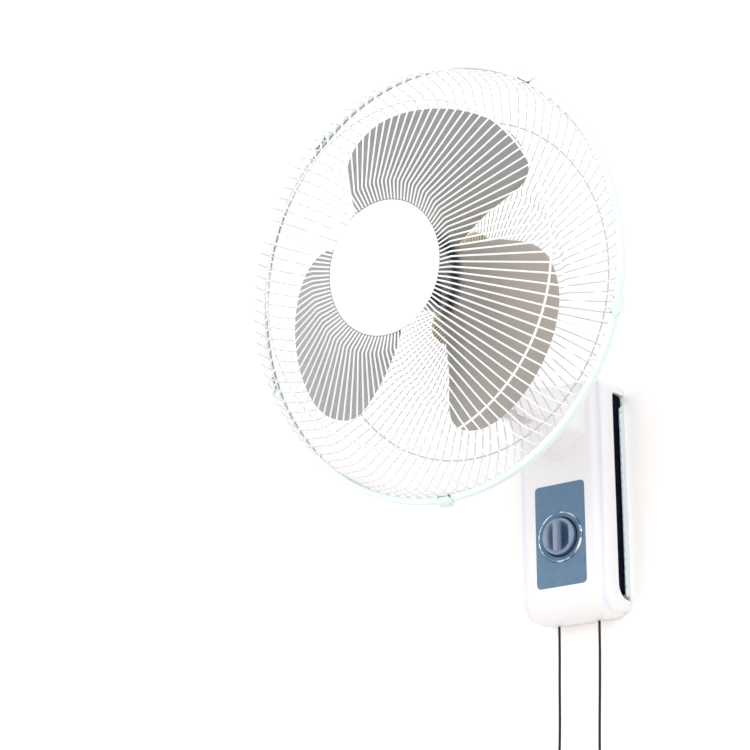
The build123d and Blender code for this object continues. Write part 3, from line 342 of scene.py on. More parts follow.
# Each side is one flat face between the outermost cut and the long cut-out.
slot_front, slot_low, slot_top, slot_sweep, slot_corner, slot_mouth = -24.5, -111.0, 117.0, 16.0, 5.0, -19.6
edge_path = front[:, -1, 1:]
edge_path = edge_path[(edge_path[:, 0] < slot_mouth) | (edge_path[:, 1] < 0)]
sweep = np.linspace(0, tau / 4, 12)
low_sweep = np.stack([slot_front + slot_sweep * (1 - np.sin(sweep)),
                      slot_low + slot_sweep * (1 - np.cos(sweep))], -1)
sweep = sweep[::2]
top_round = np.stack([slot_front + slot_corner * (1 - np.cos(sweep)),
                      slot_top - slot_corner * (1 - np.sin(sweep))], -1)
cut_out = np.vstack([[(-wall_gap, slot_low)], low_sweep, top_round, [(slot_mouth, slot_top)]])
loop = np.vstack([edge_path, cut_out])
side_right = np.column_stack([np.full(len(loop), half_width), loop])
side_left = side_right * (-1, 1, 1)
body = np.vstack([front.reshape(-1, 3), side_right, side_left]) / 1000
grid = quads(len(cut_y), x.shape[1], wrap=False).tolist()
first = front[..., 0].size
sides = [list(range(first + k * len(loop), first + (k + 1) * len(loop))) for k in (0, 1)]
# The same ABS on the shell itself, with painted shade: a faint blue-grey in the groove at the land's foot.
groove_shaded_abs = moulded("housing_abs_gloss_painted_groove_shade", "F8F8FA", "F3F3F7", 0.11, 0.0016, 0.3, 0.00002, 1.54)
housing = surface("base_housing_shell", body, grid + sides, groove_shaded_abs, "base", "base_cover",
                  "white_housing", 40)


def groove(spots):
    """The share of painted shade in the groove: exp(-((d - foot_from) / 3)^2), where d is the distance in from
    the land's outline; it fades out between 40 and 30 mm from the wall."""
    side, up, depth_in = np.abs(spots[:, 0]) * 1000, spots[:, 2] * 1000, -spots[:, 1] * 1000
    within = land_corner - np.hypot(np.clip(side - land_side, 0, None), np.clip(up - land_end, 0, None))
    return np.exp(-((within - foot_from) / 3.0) ** 2) * np.clip((depth_in - 30) / 10, 0, 1)


# Painted shade: a faint blue-grey tint along the groove at the land's foot.
shaded(housing, "groove", "EAEEF9", groove)
thickened(housing, 0.0024, -1.0)
bevelled(housing, 0.0005, 60)


# ---------------------------------------------------------------- control panel
# The grey-blue panel round the knob: a printed satin sheet of polycarbonate, cut
# to its outline and glued into a shallow recess of the land.
def softened(node, material, body, width, steps=2, angle=28):
    """A copy of a CAD node with its flats joined up and its edges rounded by a live bevel."""
    mesh = frame["nodes"][node].data.copy()
    mesh.name = node + "_moulding"
    work = bmesh.new()
    work.from_mesh(mesh)
    bmesh.ops.remove_doubles(work, verts=work.verts, dist=1e-5)
    bmesh.ops.dissolve_limit(work, angle_limit=radians(0.6), verts=work.verts, edges=work.edges)
    bmesh.ops.recalc_face_normals(work, faces=work.faces)
    work.to_mesh(mesh)
    work.free()
    for flag in ("custom_normal", "sharp_edge", "sharp_face"):
        if flag in mesh.attributes:
            mesh.attributes.remove(mesh.attributes[flag])
    mesh.polygons.foreach_set("use_smooth", np.ones(len(mesh.polygons), bool))
    mesh.materials.clear()
    mesh.materials.append(material)
    piece = bpy.data.objects.new(node + "_moulding", mesh)
    bpy.context.collection.objects.link(piece)
    edge = bevelled(piece, width, angle, steps)
    edge.harden_normals, edge.use_clamp_overlap, edge.miter_outer = True, True, "MITER_ARC"
    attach(piece, body)
    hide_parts(node)
    return piece


# Satin polycarbonate: an even grey-blue with a dull, wide highlight.
panel_sheet = moulded("panel_satin_sheet", "6285A2", "537493", 0.012, 0.0012, 0.42)
softened("control_panel", panel_sheet, "base", 0.0003)


# ---------------------------------------------------------------- knob bezel
# A moulded ring round the knob, plated bright on its rim and glossy grey-blue in
# the dish that falls to the panel; next to the knob a dark gap is left.
def metal(name, light, dark, streak, rough, stretch=(1, 1, 1), bump=0.00002):
    """Metal whose two tones run in streaks; stretch below 1 draws them out along that axis."""
    made, tree = blank(name)
    spot = add(tree, "TexCoord").outputs["Object"]
    drawn = add(tree, "Mapping", {"Vector": spot, "Scale": stretch}).outputs["Vector"]
    lines = add(tree, "TexNoise", {"Vector": drawn, "Scale": 1 / streak, "Detail": 4.0}).outputs["Fac"]
    mix = add(tree, "MixRGB", {"Fac": lines, "Color1": colour(light), "Color2": colour(dark)}).outputs["Color"]
    gloss = add(tree, "MapRange", {"Value": lines, "To Min": rough * 0.7,
                                   "To Max": rough * 1.4}).outputs["Result"]
    relief = add(tree, "Bump", {"Height": lines, "Strength": 0.5, "Distance": bump}).outputs["Normal"]
    shader = add(tree, "BsdfPrincipled", {"Base Color": mix, "Roughness": gloss, "Normal": relief,
                                          "Metallic": 1.0})
    add(tree, "OutputMaterial", {"Surface": shader.outputs["BSDF"]})
    return made


bezel_low, bezel_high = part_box("knob_bezel")
knob_centre = np.array([(bezel_low.x + bezel_high.x) / 2, bezel_high.y, (bezel_low.z + bezel_high.z) / 2])
panel_face = float(bezel_high.y)
out = np.array([0.0, -1.0, 0.0])
# Plated ring, bright, with painted reflections in its colour: broken blue-grey patches; a narrow tone range
# breaks them sharply.
plated_painted_reflections = metal("plated_ring_painted_reflections", "F2F6FA", "61809E", 0.009, 0.16)
painted_reflection_mix = next(n for n in plated_painted_reflections.node_tree.nodes if n.type == "MIX_RGB")
sharper = add(plated_painted_reflections.node_tree, "MapRange", {"Value": painted_reflection_mix.inputs["Fac"].links[0].from_socket, "From Min": 0.42,
                                             "From Max": 0.56}).outputs["Result"]
plated_painted_reflections.node_tree.links.new(sharper, painted_reflection_mix.inputs["Fac"])
# Glossy grey-blue ABS in the dish, and near black where no light falls into the gap.
dish = moulded("bezel_dish_abs", "64839F", "567492", 0.008, 0.0008, 0.16)
gap_black = moulded("knob_gap_shadow_black", "141A26", "0A0E16", 0.01, 0.0008, 0.6)
ring_profile = np.array([(28.0, 0.0), (27.9, 0.5), (27.5, 1.1), (26.9, 1.5), (26.2, 1.6), (25.6, 1.45),
                         (24.6, 1.05), (23.4, 0.7), (22.6, 0.5), (21.9, 0.42), (21.7, 0.1),
                         (20.2, 0.02)]) / 1000
bezel = surface("knob_bezel_ring", *turned(ring_profile, knob_centre, out, 96), plated_painted_reflections, "base", "knob_bezel",
                "bezel_silver", 60)
bezel.data.materials.append(dish)
bezel.data.materials.append(gap_black)
centres = np.empty(len(bezel.data.polygons) * 3)
bezel.data.polygons.foreach_get("center", centres)
away_from_axis = np.hypot(*(centres.reshape(-1, 3)[:, ::2] - knob_centre[::2]).T)
plated_from, dish_from = 0.0264, 0.0219
zone = np.select([away_from_axis > plated_from, away_from_axis > dish_from], [0, 1], 2)
bezel.data.polygons.foreach_set("material_index", zone.astype(np.int32))


# ---------------------------------------------------------------- control knob
# Satin grey-blue moulding whose stem plugs into the rotary switch: a shallow disc
# with a raised grip straight across it and a lens-shaped hollow scooped out on
# each side of the grip.

# Satin ABS: a paler grey-blue than the panel, with painted shade darkening its hollows.
knob_abs = moulded("knob_abs_satin", "93A6BC", "7388A4", 0.006, 0.0008, 0.3)
knob_back = panel_face - 0.0003
disc_h, grip_h, grip_half, grip_end = 0.0052, 0.0106, 0.0031, 0.0195
scoop_deep, scoop_r, scoop_half = 0.0040, 0.0168, 0.0148
side_blend, end_blend, scoop_blend, grip_flare = 0.0013, 0.0035, 0.0045, 0.0008


def step(value):
    """3 v^2 - 2 v^3 between 0 and 1."""
    v = np.clip(value, 0, 1)
    return v**2 * (3 - 2 * v)


def knob_height(x, z):
    """Disc height, less a lens-shaped scoop sqrt(1 - (r / scoop_r)^2) on each side of the grip, plus the grip,
    whose sides and ends are smooth steps."""
    r = np.hypot(x, z)
    on_grip = step((grip_half + grip_flare - np.abs(x)) / side_blend)
    lens = np.sqrt(np.clip(1 - (r / scoop_r) ** 2, 0, 1))
    scoop = scoop_deep * lens * step((scoop_half - np.abs(x)) / scoop_blend)
    grip = (grip_h - disc_h) * on_grip * step((grip_end - r) / end_blend)
    return disc_h + grip - scoop * (1 - on_grip)


# Rings of the face, then those that round its edge and run down the side to the middle of the back.
spokes, face_rings = np.arange(192) * tau / 192, 66
edge_radii = [0.0194, 0.0198, 0.0200, 0.0201, 0.0201, 0.0197, 0.0]
radii = np.concatenate([np.linspace(0, 0.0189, face_rings), edge_radii])
edge_drops = np.array([0.0001, 0.0004, 0.0008, 0.0013, 0.0048, disc_h, disc_h])
knob_x, knob_z = radii[:, None] * np.sin(spokes), radii[:, None] * np.cos(spokes)
heights = knob_height(knob_x, knob_z)
heights[face_rings:] = disc_h - edge_drops[:, None]
knob_points = np.stack([knob_x + knob_centre[0], knob_back - heights, knob_z + knob_centre[2]], -1)
grip_disc = surface("knob_grip_disc", knob_points, quads(len(radii), len(spokes)), knob_abs, "knob",
                    "control_knob", "knob_blue", 40)


def hollow_painted_shade(spots):
    """The share of painted shade in the hollows: 0 on the grip and the disc's face, rising to 1 at 2.8 mm under
    the face.
    """
    return np.clip((spots[:, 1] - (knob_back - disc_h)) / 0.0028, 0, 1)


# Painted shade: a dark blue mixed into the hollows beside the grip.
shaded(grip_disc, "hollow", "33496B", hollow_painted_shade)


# ---------------------------------------------------------------- neck
# White ABS arm screwed to the housing, with a V-shaped underside; it draws in
# to a narrower arm that is hollow underneath, where the swing post is held.
softened("neck", housing_abs, "base", 0.0016, 3, 12)


# ---------------------------------------------------------------- swing and tilt
# Turret of the same white ABS on a steel post; the tilt bolt and its nut clamp
# the motor's lug between the turret's two ears.
softened("swing_turret", housing_abs, "swivel", 0.001, 2)
# Zinc plated steel: bright grey with short soft reflections.
bright_steel = metal("bright_zinc_steel", "C9CCD0", "A3A7AC", 0.002, 0.3)
dress(bright_steel, "tilt_bolt", "tilt_nut", "swing_post", "post_clip")
dress(bright_steel, "neck_screws", "cover_screws", "motor_screws")


# ---------------------------------------------------------------- inner parts
# Moulded switch bodies, capacitor and terminal block, the black gland of the
# cable hole and the white eyelets of the cord holes.

# Plain grey PBT, as moulded: dull and even.
inner_pbt = moulded("inner_pbt_grey", "8E9194", "7A7D81", 0.01, 0.0008, 0.55)
dress(inner_pbt, "capacitor", "terminal_block", "swing_pull_switch", "speed_pull_switch", "rotary_switch")
dress(pull_plastic, "mains_gland")
dress(housing_abs, "cord_eyelets")


# ---------------------------------------------------------------- motor
# White cover over a laminated, varnished stator; in front the yellow chromated
# plate that carries the guard, with the bright ground shaft through it.
softened("motor_cover", housing_abs, "head", 0.002, 3, 18)
# Yellow chromate over zinc: brassy patches that drift to grey.
yellow_zinc = metal("yellow_chromate_zinc", "CDB36A", "A9A489", 0.009, 0.38)
dress(yellow_zinc, "motor_front_plate")
# Laminations under brown varnish: fine dark streaks along the motor.
lacquered = metal("varnished_laminations", "6A5144", "43352E", 0.0015, 0.5, (1, 0.1, 1))
dress(lacquered, "motor_stator", "motor_rotor")
# Ground bar steel: nearly mirror bright.
ground_steel = metal("ground_steel", "D5D7DA", "BCBFC3", 0.001, 0.18)
dress(ground_steel, "motor_shaft", "motor_bearings")


# ---------------------------------------------------------------- guard wires
# Two halves of 108 bent steel wires each, thicker in front than at the back, spot
# welded to the rings and coated with white powder.
spin = next(j for j in frame["joints"] if j["name"] == "blade_spin")
hub = np.array(spin["pos_m"])
ahead = np.array(spin["axis"]) / np.linalg.norm(spin["axis"])
across = np.array([1.0, 0.0, 0.0])
above = np.cross(ahead, across)
# Baked powder coat: white and smooth; the rear half's copy is a little greyer and duller, painted shade where
# it stands behind the front half.
powder = moulded("white_powder_coat", "FCFDFD", "F7F8F8", 0.05, 0.0011, 0.38, 0.00002)
powder_rear_painted_shade = moulded("white_powder_coat_rear_painted_shade", "F8F9F9", "F0F1F2", 0.05, 0.0011, 0.45, 0.00002)
wire_count = 108


def rounded_line(corners, bend, steps=4):
    """The line through (radius, distance) corners, each corner cut back by bend, or by 0.45 of its shorter run
    if that is less, and bridged by (1 - s)^2 a + 2 s (1 - s) corner + s^2 b."""
    c = np.asarray(corners, float)
    runs = np.linalg.norm(np.diff(c, axis=0), axis=1)
    cut = np.minimum(bend, 0.45 * np.minimum(runs[:-1], runs[1:]))[:, None]
    a = c[1:-1] + cut * (c[:-2] - c[1:-1]) / runs[:-1, None]
    b = c[1:-1] + cut * (c[2:] - c[1:-1]) / runs[1:, None]
    s = np.linspace(0, 1, steps)[None, :, None]
    arcs = (1 - s) ** 2 * a[:, None] + 2 * s * (1 - s) * c[1:-1, None] + s**2 * b[:, None]
    return np.vstack([c[0], arcs.reshape(-1, 2), c[-1]])


def guard_half(name, corners, bend, wire_r, coat):
    """Every wire is the line's points with a hexagon of wire_r round each, turned to its place about the
    motor's axis: hub + r (across cos a + above sin a) + n ahead, r and n shifted along the line's normal by
    wire_r cos b and sideways by wire_r sin b."""
    line = rounded_line(np.array(corners) / 1000, np.array(bend) / 1000)
    along = np.gradient(line, axis=0)
    along /= np.linalg.norm(along, axis=1)[:, None]
    b = np.arange(6) * tau / 6 + tau / 12
    r = line[:, :1] - wire_r * np.cos(b) * along[:, 1:]
    n = line[:, 1:] + wire_r * np.cos(b) * along[:, :1]
    side = np.broadcast_to(wire_r * np.sin(b), r.shape)
    centre = np.zeros((1, 6))
    first, last = [(np.full((1, 6), line[k, 0]), np.full((1, 6), line[k, 1]), centre) for k in (0, -1)]
    r, n, side = (np.vstack([first[k], v, last[k]]) for k, v in enumerate((r, n, side)))
    a = (np.arange(wire_count) * tau / wire_count)[:, None, None, None]
    outwards, sideways = across * np.cos(a) + above * np.sin(a), above * np.cos(a) - across * np.sin(a)
    points = hub + r[None, ..., None] * outwards + n[None, ..., None] * ahead + side[None, ..., None] * sideways
    one = quads(len(r), 6)
    faces = (one[None] + (np.arange(wire_count) * len(r) * 6)[:, None, None]).reshape(-1, 4)
    return surface(name, points, faces, coat, "head", name.replace("_bent", ""), "white_wire", 60)


# Each half's (radius, distance ahead) corners in millimetres; the inner ones are cut back by the next list.
front_corners = [(69.75, 81.0), (87.0, 87.0), (178.2, 53.8), (213.0, 33.0), (221.0, 0.6)]
rear_corners = [(40.0, -77.0), (113.5, -70.0), (120.5, -63.0), (178.2, -50.0), (213.0, -29.0), (221.0, -0.6)]
guard_half("front_guard_wires_bent", front_corners, (2.5, 7, 7), 0.00092, powder)
guard_half("rear_guard_wires_bent", rear_corners, (4, 4, 7, 7), 0.0007, powder_rear_painted_shade)


# ---------------------------------------------------------------- guard rings
# One ring on each half of the guard, four fifths of the way out, of 2.4 mm wire in
# front and 1.8 mm wire at the back, spot welded to the wires from behind.

# The rear ring's coat is a greyer copy of the powder, painted shade, so it shows as a line through the wires.
rear_ring_painted_shade_coat = moulded("white_powder_coat_ring_painted_shade", "DCE1E1", "CFD5D5", 0.05, 0.0011, 0.45, 0.00002)
ring_r = 0.1782
for node, at, coat, wire_r in (("front_guard_ring", 0.0504, powder, 0.0012),
                               ("rear_guard_ring", -0.0534, rear_ring_painted_shade_coat, 0.0009)):
    b = np.linspace(0, tau, 11)
    ring = np.stack([ring_r + wire_r * np.cos(b), at + wire_r * np.sin(b)], -1)
    surface(node + "_round", *turned(ring, hub, ahead, 144), coat, "head", node, "white_wire", 60)


# ---------------------------------------------------------------- rim
# Pale aqua polypropylene band with rounded corners; both halves of the guard end
# in its inner side.

# Polypropylene, as moulded: a milky aqua tint. A paler copy on the front face is painted light, and the dark
# line on the seam inside is painted shade.
rim_pp = moulded("rim_polypropylene_aqua", "E7F5F4", "DDEFEE", 0.06, 0.001, 0.35)
seam_painted_shade = moulded("rim_seam_painted_shade", "5F6E6F", "4C5A5B", 0.02, 0.001, 0.6)
rim_pp_painted_light = moulded("rim_polypropylene_painted_light", "F1FAFA", "E9F6F6", 0.06, 0.001, 0.35)
# The section is |r / 3.5 mm|^5 + |n / 4 mm|^5 = 1 with a square groove in place of its innermost point.
b = np.linspace(0, tau, 49)
box = np.stack([np.cos(b), np.sin(b)], -1)
box /= (np.abs(box) ** 5).sum(1, keepdims=True) ** (1 / 5)
rim = np.array([0.2255, 0.0]) + box * (0.0035, 0.004)
innermost, face_from, rim_steps = 24, 7, 180
seam = [(0.2220, 0.0020), (0.2236, 0.0019), (0.2236, -0.0019), (0.2220, -0.0020)]
rim = np.vstack([rim[:innermost], seam, rim[innermost + 1:]])
band = surface("rim_band_moulded", *turned(rim, hub, ahead, rim_steps), rim_pp, "head", "rim_band",
               "aqua_rim", 40)
band.data.materials.append(seam_painted_shade)
band.data.materials.append(rim_pp_painted_light)
# Painted shade on the seam's groove and painted light on the front face, chosen by material.
cells = np.arange(len(band.data.polygons)) // rim_steps
in_seam = (cells >= innermost) & (cells <= innermost + 2)
on_face = (cells >= face_from) & (cells <= innermost - 2)
band.data.polygons.foreach_set("material_index", np.select([in_seam, on_face], [1, 2], 0).astype(np.int32))


# ---------------------------------------------------------------- rim clips
# Five sprung levers of the same plastic hold the front half of the guard, each
# turning on a pin between two thin ears on the rim, with a dark pad under its
# hook that is painted shadow.
clip_count, first_clip, rim_r = 5, 53, 229
lever_path = eased([(232.9, -3.5), (231.9, -1.6), (230.9, 0.6), (230.3, 3.2), (229.4, 4.9), (226.6, 5.3),
                    (223.4, 5.0)], 3) / 1000
# Half the lever's width swells from 5.8 to 10 mm past its pin and draws in to 5.5 mm at the hook.
along_lever = np.linspace(0, 1, len(lever_path))
half_wide = (5.8 + 4.2 * np.clip((along_lever - 0.3) / 0.25, 0, 1) ** 2
             - 4.5 * np.clip((along_lever - 0.72) / 0.28, 0, 1) ** 2)
pad_line = np.array([(222.6, 4.05), (223.2, 4.45), (228.0, 4.45), (228.6, 4.05)]) / 1000
pad_half, pad_rows = 8.0, 9


def round_rim(line, a):
    """hub + r (across cos a + above sin a) + n ahead for a line of (r, n) points and the angles a."""
    radial = across * np.cos(a)[..., None] + above * np.sin(a)[..., None]
    return hub + line[..., :1] * radial + line[..., 1:] * ahead


for k in range(clip_count):
    mid = radians(first_clip + 360 / clip_count * k)
    # Lever: each point of its path spread sideways along the rim.
    across_lever = mid + half_wide[:, None] / rim_r * np.linspace(-1, 1, 13)
    lever = surface(f"rim_clip_{k + 1}_lever", round_rim(lever_path[:, None], across_lever),
                    quads(len(lever_path), 13, wrap=False), rim_pp, f"clip_{k + 1}", f"rim_clip_{k + 1}",
                    "aqua_rim", 50)
    thickened(lever, 0.001)
    bevelled(lever, 0.0002, 50)
    # Painted shadow under the hook: a dark pad, closed at both ends.
    across_pad = mid + pad_half / rim_r * np.linspace(-1, 1, pad_rows)
    pad_ends = [list(range(4)), list(range(pad_rows * 4 - 4, pad_rows * 4))]
    surface(f"rim_clip_{k + 1}_pad", round_rim(pad_line[None], across_pad[:, None]),
            quads(pad_rows, 4).tolist() + pad_ends, seam_painted_shade, "head", None, "aqua_rim", 40)
# Ears: one outline, repeated on both faces of each ear.
ear_line = np.array([(228.9, -3.4), (230.6, -3.1), (232.0, -2.2), (232.5, -1.2), (232.2, -0.2), (231.0, 0.9),
                     (228.9, 1.9)]) / 1000
ear_faces_at = np.array([-7.6, -6.2, 6.2, 7.6]) / rim_r
ear_mid = radians(first_clip) + np.arange(clip_count) * tau / clip_count
ear_points = round_rim(ear_line[None], (ear_mid[:, None] + ear_faces_at).reshape(-1, 1))
corners = np.arange(len(ear_line))
nxt = (corners + 1) % len(corners)
ear_edge = np.stack([corners, nxt, nxt + len(corners), corners + len(corners)], -1)
ear_starts = 2 * len(corners) * np.arange(2 * clip_count)
ear_faces = (ear_edge[None] + ear_starts[:, None, None]).reshape(-1, 4).tolist()
ear_faces += (corners[None] + len(corners) * np.arange(4 * clip_count)[:, None]).tolist()
surface("rim_clip_seat_ears", ear_points, ear_faces, rim_pp, "head", "rim_clip_seats", "aqua_rim", 40)


# ---------------------------------------------------------------- centre plate and nut
# Pressed steel plate that the rear wires are welded to, coated like them, and
# the lobed white plastic nut that clamps it to the motor's boss.
softened("guard_centre_plate", powder, "head", 0.0004)
softened("guard_nut", housing_abs, "head", 0.0008)


# ---------------------------------------------------------------- guard disc
# Domed white disc in the middle of the guard, its edge rolled over the wires'
# ends.
disc_r, disc_front, disc_dome = 0.0688, 0.082, 0.004
reach = np.linspace(0, 0.066, 16)
disc_profile = np.vstack([np.stack([reach, disc_front + disc_dome * (1 - (reach / disc_r) ** 2)], -1),
                          [(0.0676, 0.08195), (0.0685, 0.0815), (disc_r, 0.0810), (0.0685, 0.0803),
                           (0.0676, 0.0800), (0.066, 0.0800), (0.0, 0.0800)]])
surface("guard_disc_moulded", *turned(disc_profile, hub, ahead, 128), housing_abs, "head", "guard_disc",
        "white_housing", 50)


# ---------------------------------------------------------------- impeller
# Three broad blades and their hub in one moulding of smoky AS resin, glossy and
# a little clear; each blade is a helical sheet with a rounded outline.

# Smoky AS resin from a polished mould: clear highlights, and a grey with painted shade, dark and cool at the
# top, and painted light, paler and warmer low on the right.
smoke, t = blank("smoky_as_resin")
place = add(t, "TexCoord").outputs["Object"]
cloud = add(t, "TexNoise", {"Vector": place, "Scale": 9.0, "Detail": 2.0}).outputs["Fac"]
flow = add(t, "TexNoise", {"Vector": place, "Scale": 60.0, "Detail": 3.0}).outputs["Fac"]
where = add(t, "SeparateXYZ", {"Vector": place}).outputs
# Painted shade at the top and painted light low on the right, set by the moulding's own coordinates.
low = add(t, "MapRange", {"Value": where["Z"], "From Min": 0.285, "From Max": 0.19}).outputs["Result"]
right = add(t, "MapRange", {"Value": where["X"], "From Min": -0.03, "From Max": 0.06}).outputs["Result"]
lower_right_painted_light = add(t, "MixRGB", {"Fac": right, "Color1": colour("A9B0B0"), "Color2": colour("BDB1A5")})
blend = add(t, "MixRGB", {"Fac": low, "Color1": colour("878D90"), "Color2": lower_right_painted_light.outputs["Color"]})
tint = add(t, "MixRGB", {"Fac": cloud, "Color1": blend.outputs["Color"], "Color2": colour("A3A4A2")})
shine = add(t, "MapRange", {"Value": flow, "To Min": 0.16, "To Max": 0.24}).outputs["Result"]
wave = add(t, "Bump", {"Height": cloud, "Strength": 0.3, "Distance": 0.0004}).outputs["Normal"]
resin = add(t, "BsdfPrincipled", {"Base Color": tint.outputs["Color"], "Roughness": shine, "Normal": wave,
                                  "IOR": 1.57, "Transmission Weight": 0.12})
add(t, "OutputMaterial", {"Surface": resin.outputs["BSDF"]})

# A blade is hub + r (across cos a + above sin a) + n ahead on a grid of r and a, where n rises with a.
# Its edges are angles by radius, in millimetres and degrees.
blade_tip, blade_root, first_edge, blade_back, lift = 0.178, 0.0285, 33.3, -0.0038, 0.0401
blade_rows, blade_columns = 52, 42
lead_at = eased([(28.5, 8.0), (60.0, 6.4), (88.0, 4.2), (112.0, 1.4), (134.0, -0.4), (147.0, 0.1), (155.0, 2.2),
                 (160.0, 4.4), (164.0, 7.0), (167.5, 10.2), (170.5, 14.0), (173.0, 19.5), (175.0, 27.5),
                 (176.4, 38.0), (177.5, 50.0), (178.0, 58.0)])
trail_at = eased([(28.5, 110.0), (47.0, 105.6), (67.0, 101.0), (82.0, 97.6), (100.0, 94.4), (113.0, 92.0),
                  (125.0, 89.8), (137.0, 87.8), (147.6, 85.6), (155.0, 83.6), (161.0, 81.1), (165.0, 79.0),
                  (169.0, 75.9), (174.0, 70.8), (177.0, 65.0), (178.0, 58.0)])
spread = blade_root + (blade_tip - blade_root) * (1 - (1 - np.linspace(0, 1, blade_rows)) ** 2.2)
start = np.interp(spread * 1000, *lead_at.T)
stop = np.interp(spread * 1000, *trail_at.T)
angle = start[:, None] + (stop - start)[:, None] * np.linspace(0, 1, blade_columns)
n = (blade_back + lift * angle / 90)[None, ..., None]
a = np.radians(first_edge + angle[None] + np.array([0.0, 120.0, 240.0])[:, None, None])[..., None]
sheet_points = hub + spread[None, :, None, None] * (across * np.cos(a) + above * np.sin(a)) + n * ahead
one = quads(blade_rows, blade_columns, wrap=False)
sheet_faces = (one[None] + (np.arange(3) * blade_rows * blade_columns)[:, None, None]).reshape(-1, 4)
blades = surface("impeller_blades", sheet_points, sheet_faces, smoke, "fan", "impeller", "smoke_blade", 60)
thickened(blades, 0.0018)
bevelled(blades, 0.0007, 50)
band_near, band_far, band_fade = 40, 61, 9


def root_painted_shade(spots):
    """The share of painted shade: 1 in a band along the hub, falling to 0 over band_fade outwards and to 0.3
    inwards; its outer edge moves from band_near at the leading edge to band_far at the trailing one."""
    side, height = (spots - hub) @ across * 1000, (spots - hub) @ above * 1000
    radius, around = np.hypot(side, height), (np.degrees(np.arctan2(height, side)) - first_edge) % 120
    past = radius - band_near - (band_far - band_near) * np.clip(around / 100, 0, 1)
    return np.clip(1 - past / band_fade, 0, 1) ** 2 * np.clip((past + 12) / 3, 0.3, 1)


# Painted shade: a dark navy band on the blades along the hub.
shaded(blades, "root", "242A35", root_painted_shade)
# Hub: an open cup with a sleeve for the shaft, of the same resin, nearly black where it is thick.
thick_smoke = moulded("smoky_as_resin_thick", "3B424B", "2B3139", 0.02, 0.002, 0.18, 0.00002, 1.57)
hub_profile = np.array([(4.05, 50), (25.5, 50), (28.2, 49.2), (29.5, 47.6), (30, 45), (30, 10), (30, -30),
                        (27.5, -30), (27.5, 45.5), (8, 45.5), (8, -24), (4.05, -24), (4.05, 50)]) / 1000
surface("impeller_hub", *turned(hub_profile, hub, ahead, 96), thick_smoke, "fan", "impeller", "smoke_blade", 35)


# ---------------------------------------------------------------- spinner
# White knob-like nut with a left-hand thread and a domed end, which holds the
# impeller on the shaft.
# The side's curve ends 1.5 mm short of the axis, in the middle of the domed end behind the disc.
nut_side = np.array([(0, 50), (16.6, 50), (17, 50.4), (17, 58.2), (16.4, 59.6), (14.5, 61.6), (11, 63.8),
                     (6, 65.5), (0, 66)]) / 1000
surface("blade_nut_moulded", *turned(eased(nut_side, 4)[:-1], hub, ahead, 96), housing_abs, "fan",
        "blade_nut", "white_housing", 40)


# ---------------------------------------------------------------- wall
# A plain white wall behind the base, which the camera, mirrors and clear parts see
# a little brighter than it is lit; it keeps the object's shadow. It shows from its
# front alone and is open behind the plate, so the back can be seen.
wall_paint, t = blank("white_wall")
brighter_by = 0.14
seen = add(t, "LightPath").outputs
seen_at_all = add(t, "Math", {0: seen["Is Camera Ray"], 1: seen["Is Glossy Ray"]}, operation="MAXIMUM")
seen_through = add(t, "Math", {0: seen_at_all.outputs[0], 1: seen["Is Transmission Ray"]}, operation="MAXIMUM")
glow = add(t, "Math", {0: seen_through.outputs[0], 1: brighter_by}, operation="MULTIPLY").outputs[0]
coat = add(t, "BsdfPrincipled", {"Base Color": colour("F8F7F6"), "Roughness": 0.9, "Specular IOR Level": 0.1,
                                 "Emission Color": (1, 1, 1, 1), "Emission Strength": glow})
from_behind = add(t, "Math", {0: seen["Is Camera Ray"], 1: add(t, "NewGeometry").outputs["Backfacing"]},
                  operation="MULTIPLY").outputs[0]
one_sided = add(t, "MixShader", {"Fac": from_behind, 1: coat.outputs["BSDF"],
                                 2: add(t, "BsdfTransparent").outputs["BSDF"]})
add(t, "OutputMaterial", {"Surface": one_sided.outputs["Shader"]})
wall_y, wall_half, opening_half = 0.0004, (6, 6), (0.05, 0.105)
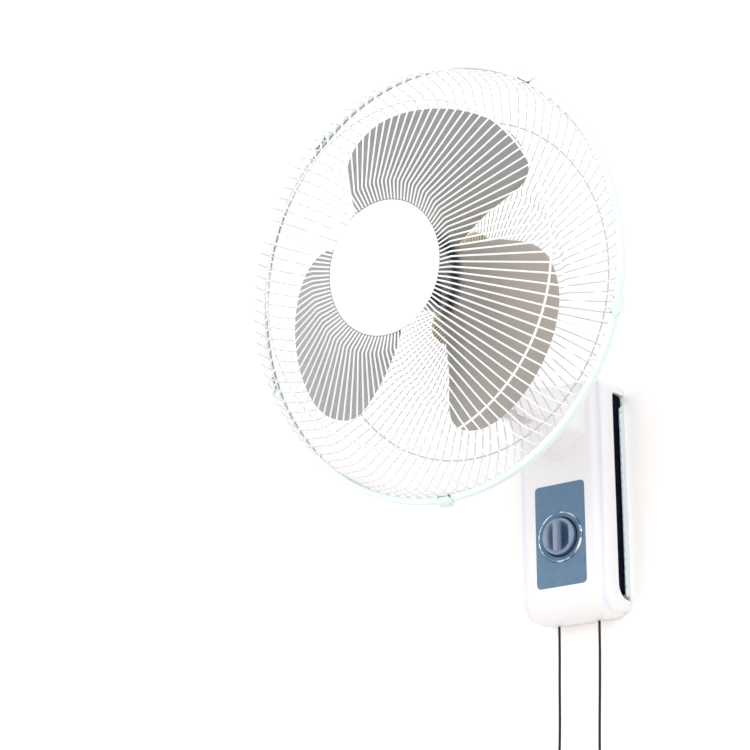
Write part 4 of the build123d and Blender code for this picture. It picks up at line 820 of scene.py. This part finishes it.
wall_corners = [(side * half[0], wall_y, up * half[1]) for half in (wall_half, opening_half)
                for side, up in ((-1, -1), (1, -1), (1, 1), (-1, 1))]
wall_mesh = bpy.data.meshes.new("wall")
wall_mesh.from_pydata(wall_corners, [], [(k, (k + 1) % 4, (k + 1) % 4 + 4, k + 4) for k in range(4)])
wall_mesh.materials.append(wall_paint)
wall = bpy.data.objects.new("wall", wall_mesh)
bpy.context.collection.objects.link(wall)


# ---------------------------------------------------------------- light
# A pale room with a warmer, slightly darker floor, a broad soft lamp high on the
# left and a weaker one on the right.
room = bpy.data.worlds.new("room")
room.use_nodes = True
t = room.node_tree
t.nodes.clear()
seen = add(t, "LightPath").outputs
direct = add(t, "Math", {0: seen["Is Camera Ray"], 1: seen["Is Transmission Ray"]},
             operation="MAXIMUM").outputs[0]
height = add(t, "SeparateXYZ", {"Vector": add(t, "TexCoord").outputs["Generated"]}).outputs["Z"]
upper = add(t, "MapRange", {"Value": height, "From Min": -0.7, "From Max": 0.4}).outputs["Result"]
around = add(t, "MapRange", {"Value": upper, "To Min": 0.94, "To Max": 1.03}).outputs["Result"]
level = add(t, "MapRange", {"Value": direct, "To Min": around, "To Max": 1.0}).outputs["Result"]
warmth = add(t, "MixRGB", {"Fac": upper, "Color1": colour("FFF8F3"), "Color2": colour("FDFDFF")})
air = add(t, "MixRGB", {"Fac": direct, "Color1": warmth.outputs["Color"], "Color2": (1, 1, 1, 1)})
sky = add(t, "Background", {"Color": air.outputs["Color"], "Strength": level})
add(t, "OutputWorld", {"Surface": sky.outputs["Background"]})
bpy.context.scene.world = room


def lamp(name, spot, target, size, power):
    """A square area lamp at a spot, facing a target."""
    made = bpy.data.objects.new(name, bpy.data.lights.new(name, "AREA"))
    made.data.size, made.data.energy = size, power
    made.location = spot
    made.rotation_mode = "QUATERNION"
    made.rotation_quaternion = (Vector(target) - Vector(spot)).to_track_quat("-Z", "Y")
    bpy.context.collection.objects.link(made)


lamp("key", (-1.7, -2.7, 1.3), (0, -0.1, -0.02), 2.0, 19)
lamp("fill", (1.3, -2.0, 0.35), (0, -0.05, 0.02), 1.0, 9)
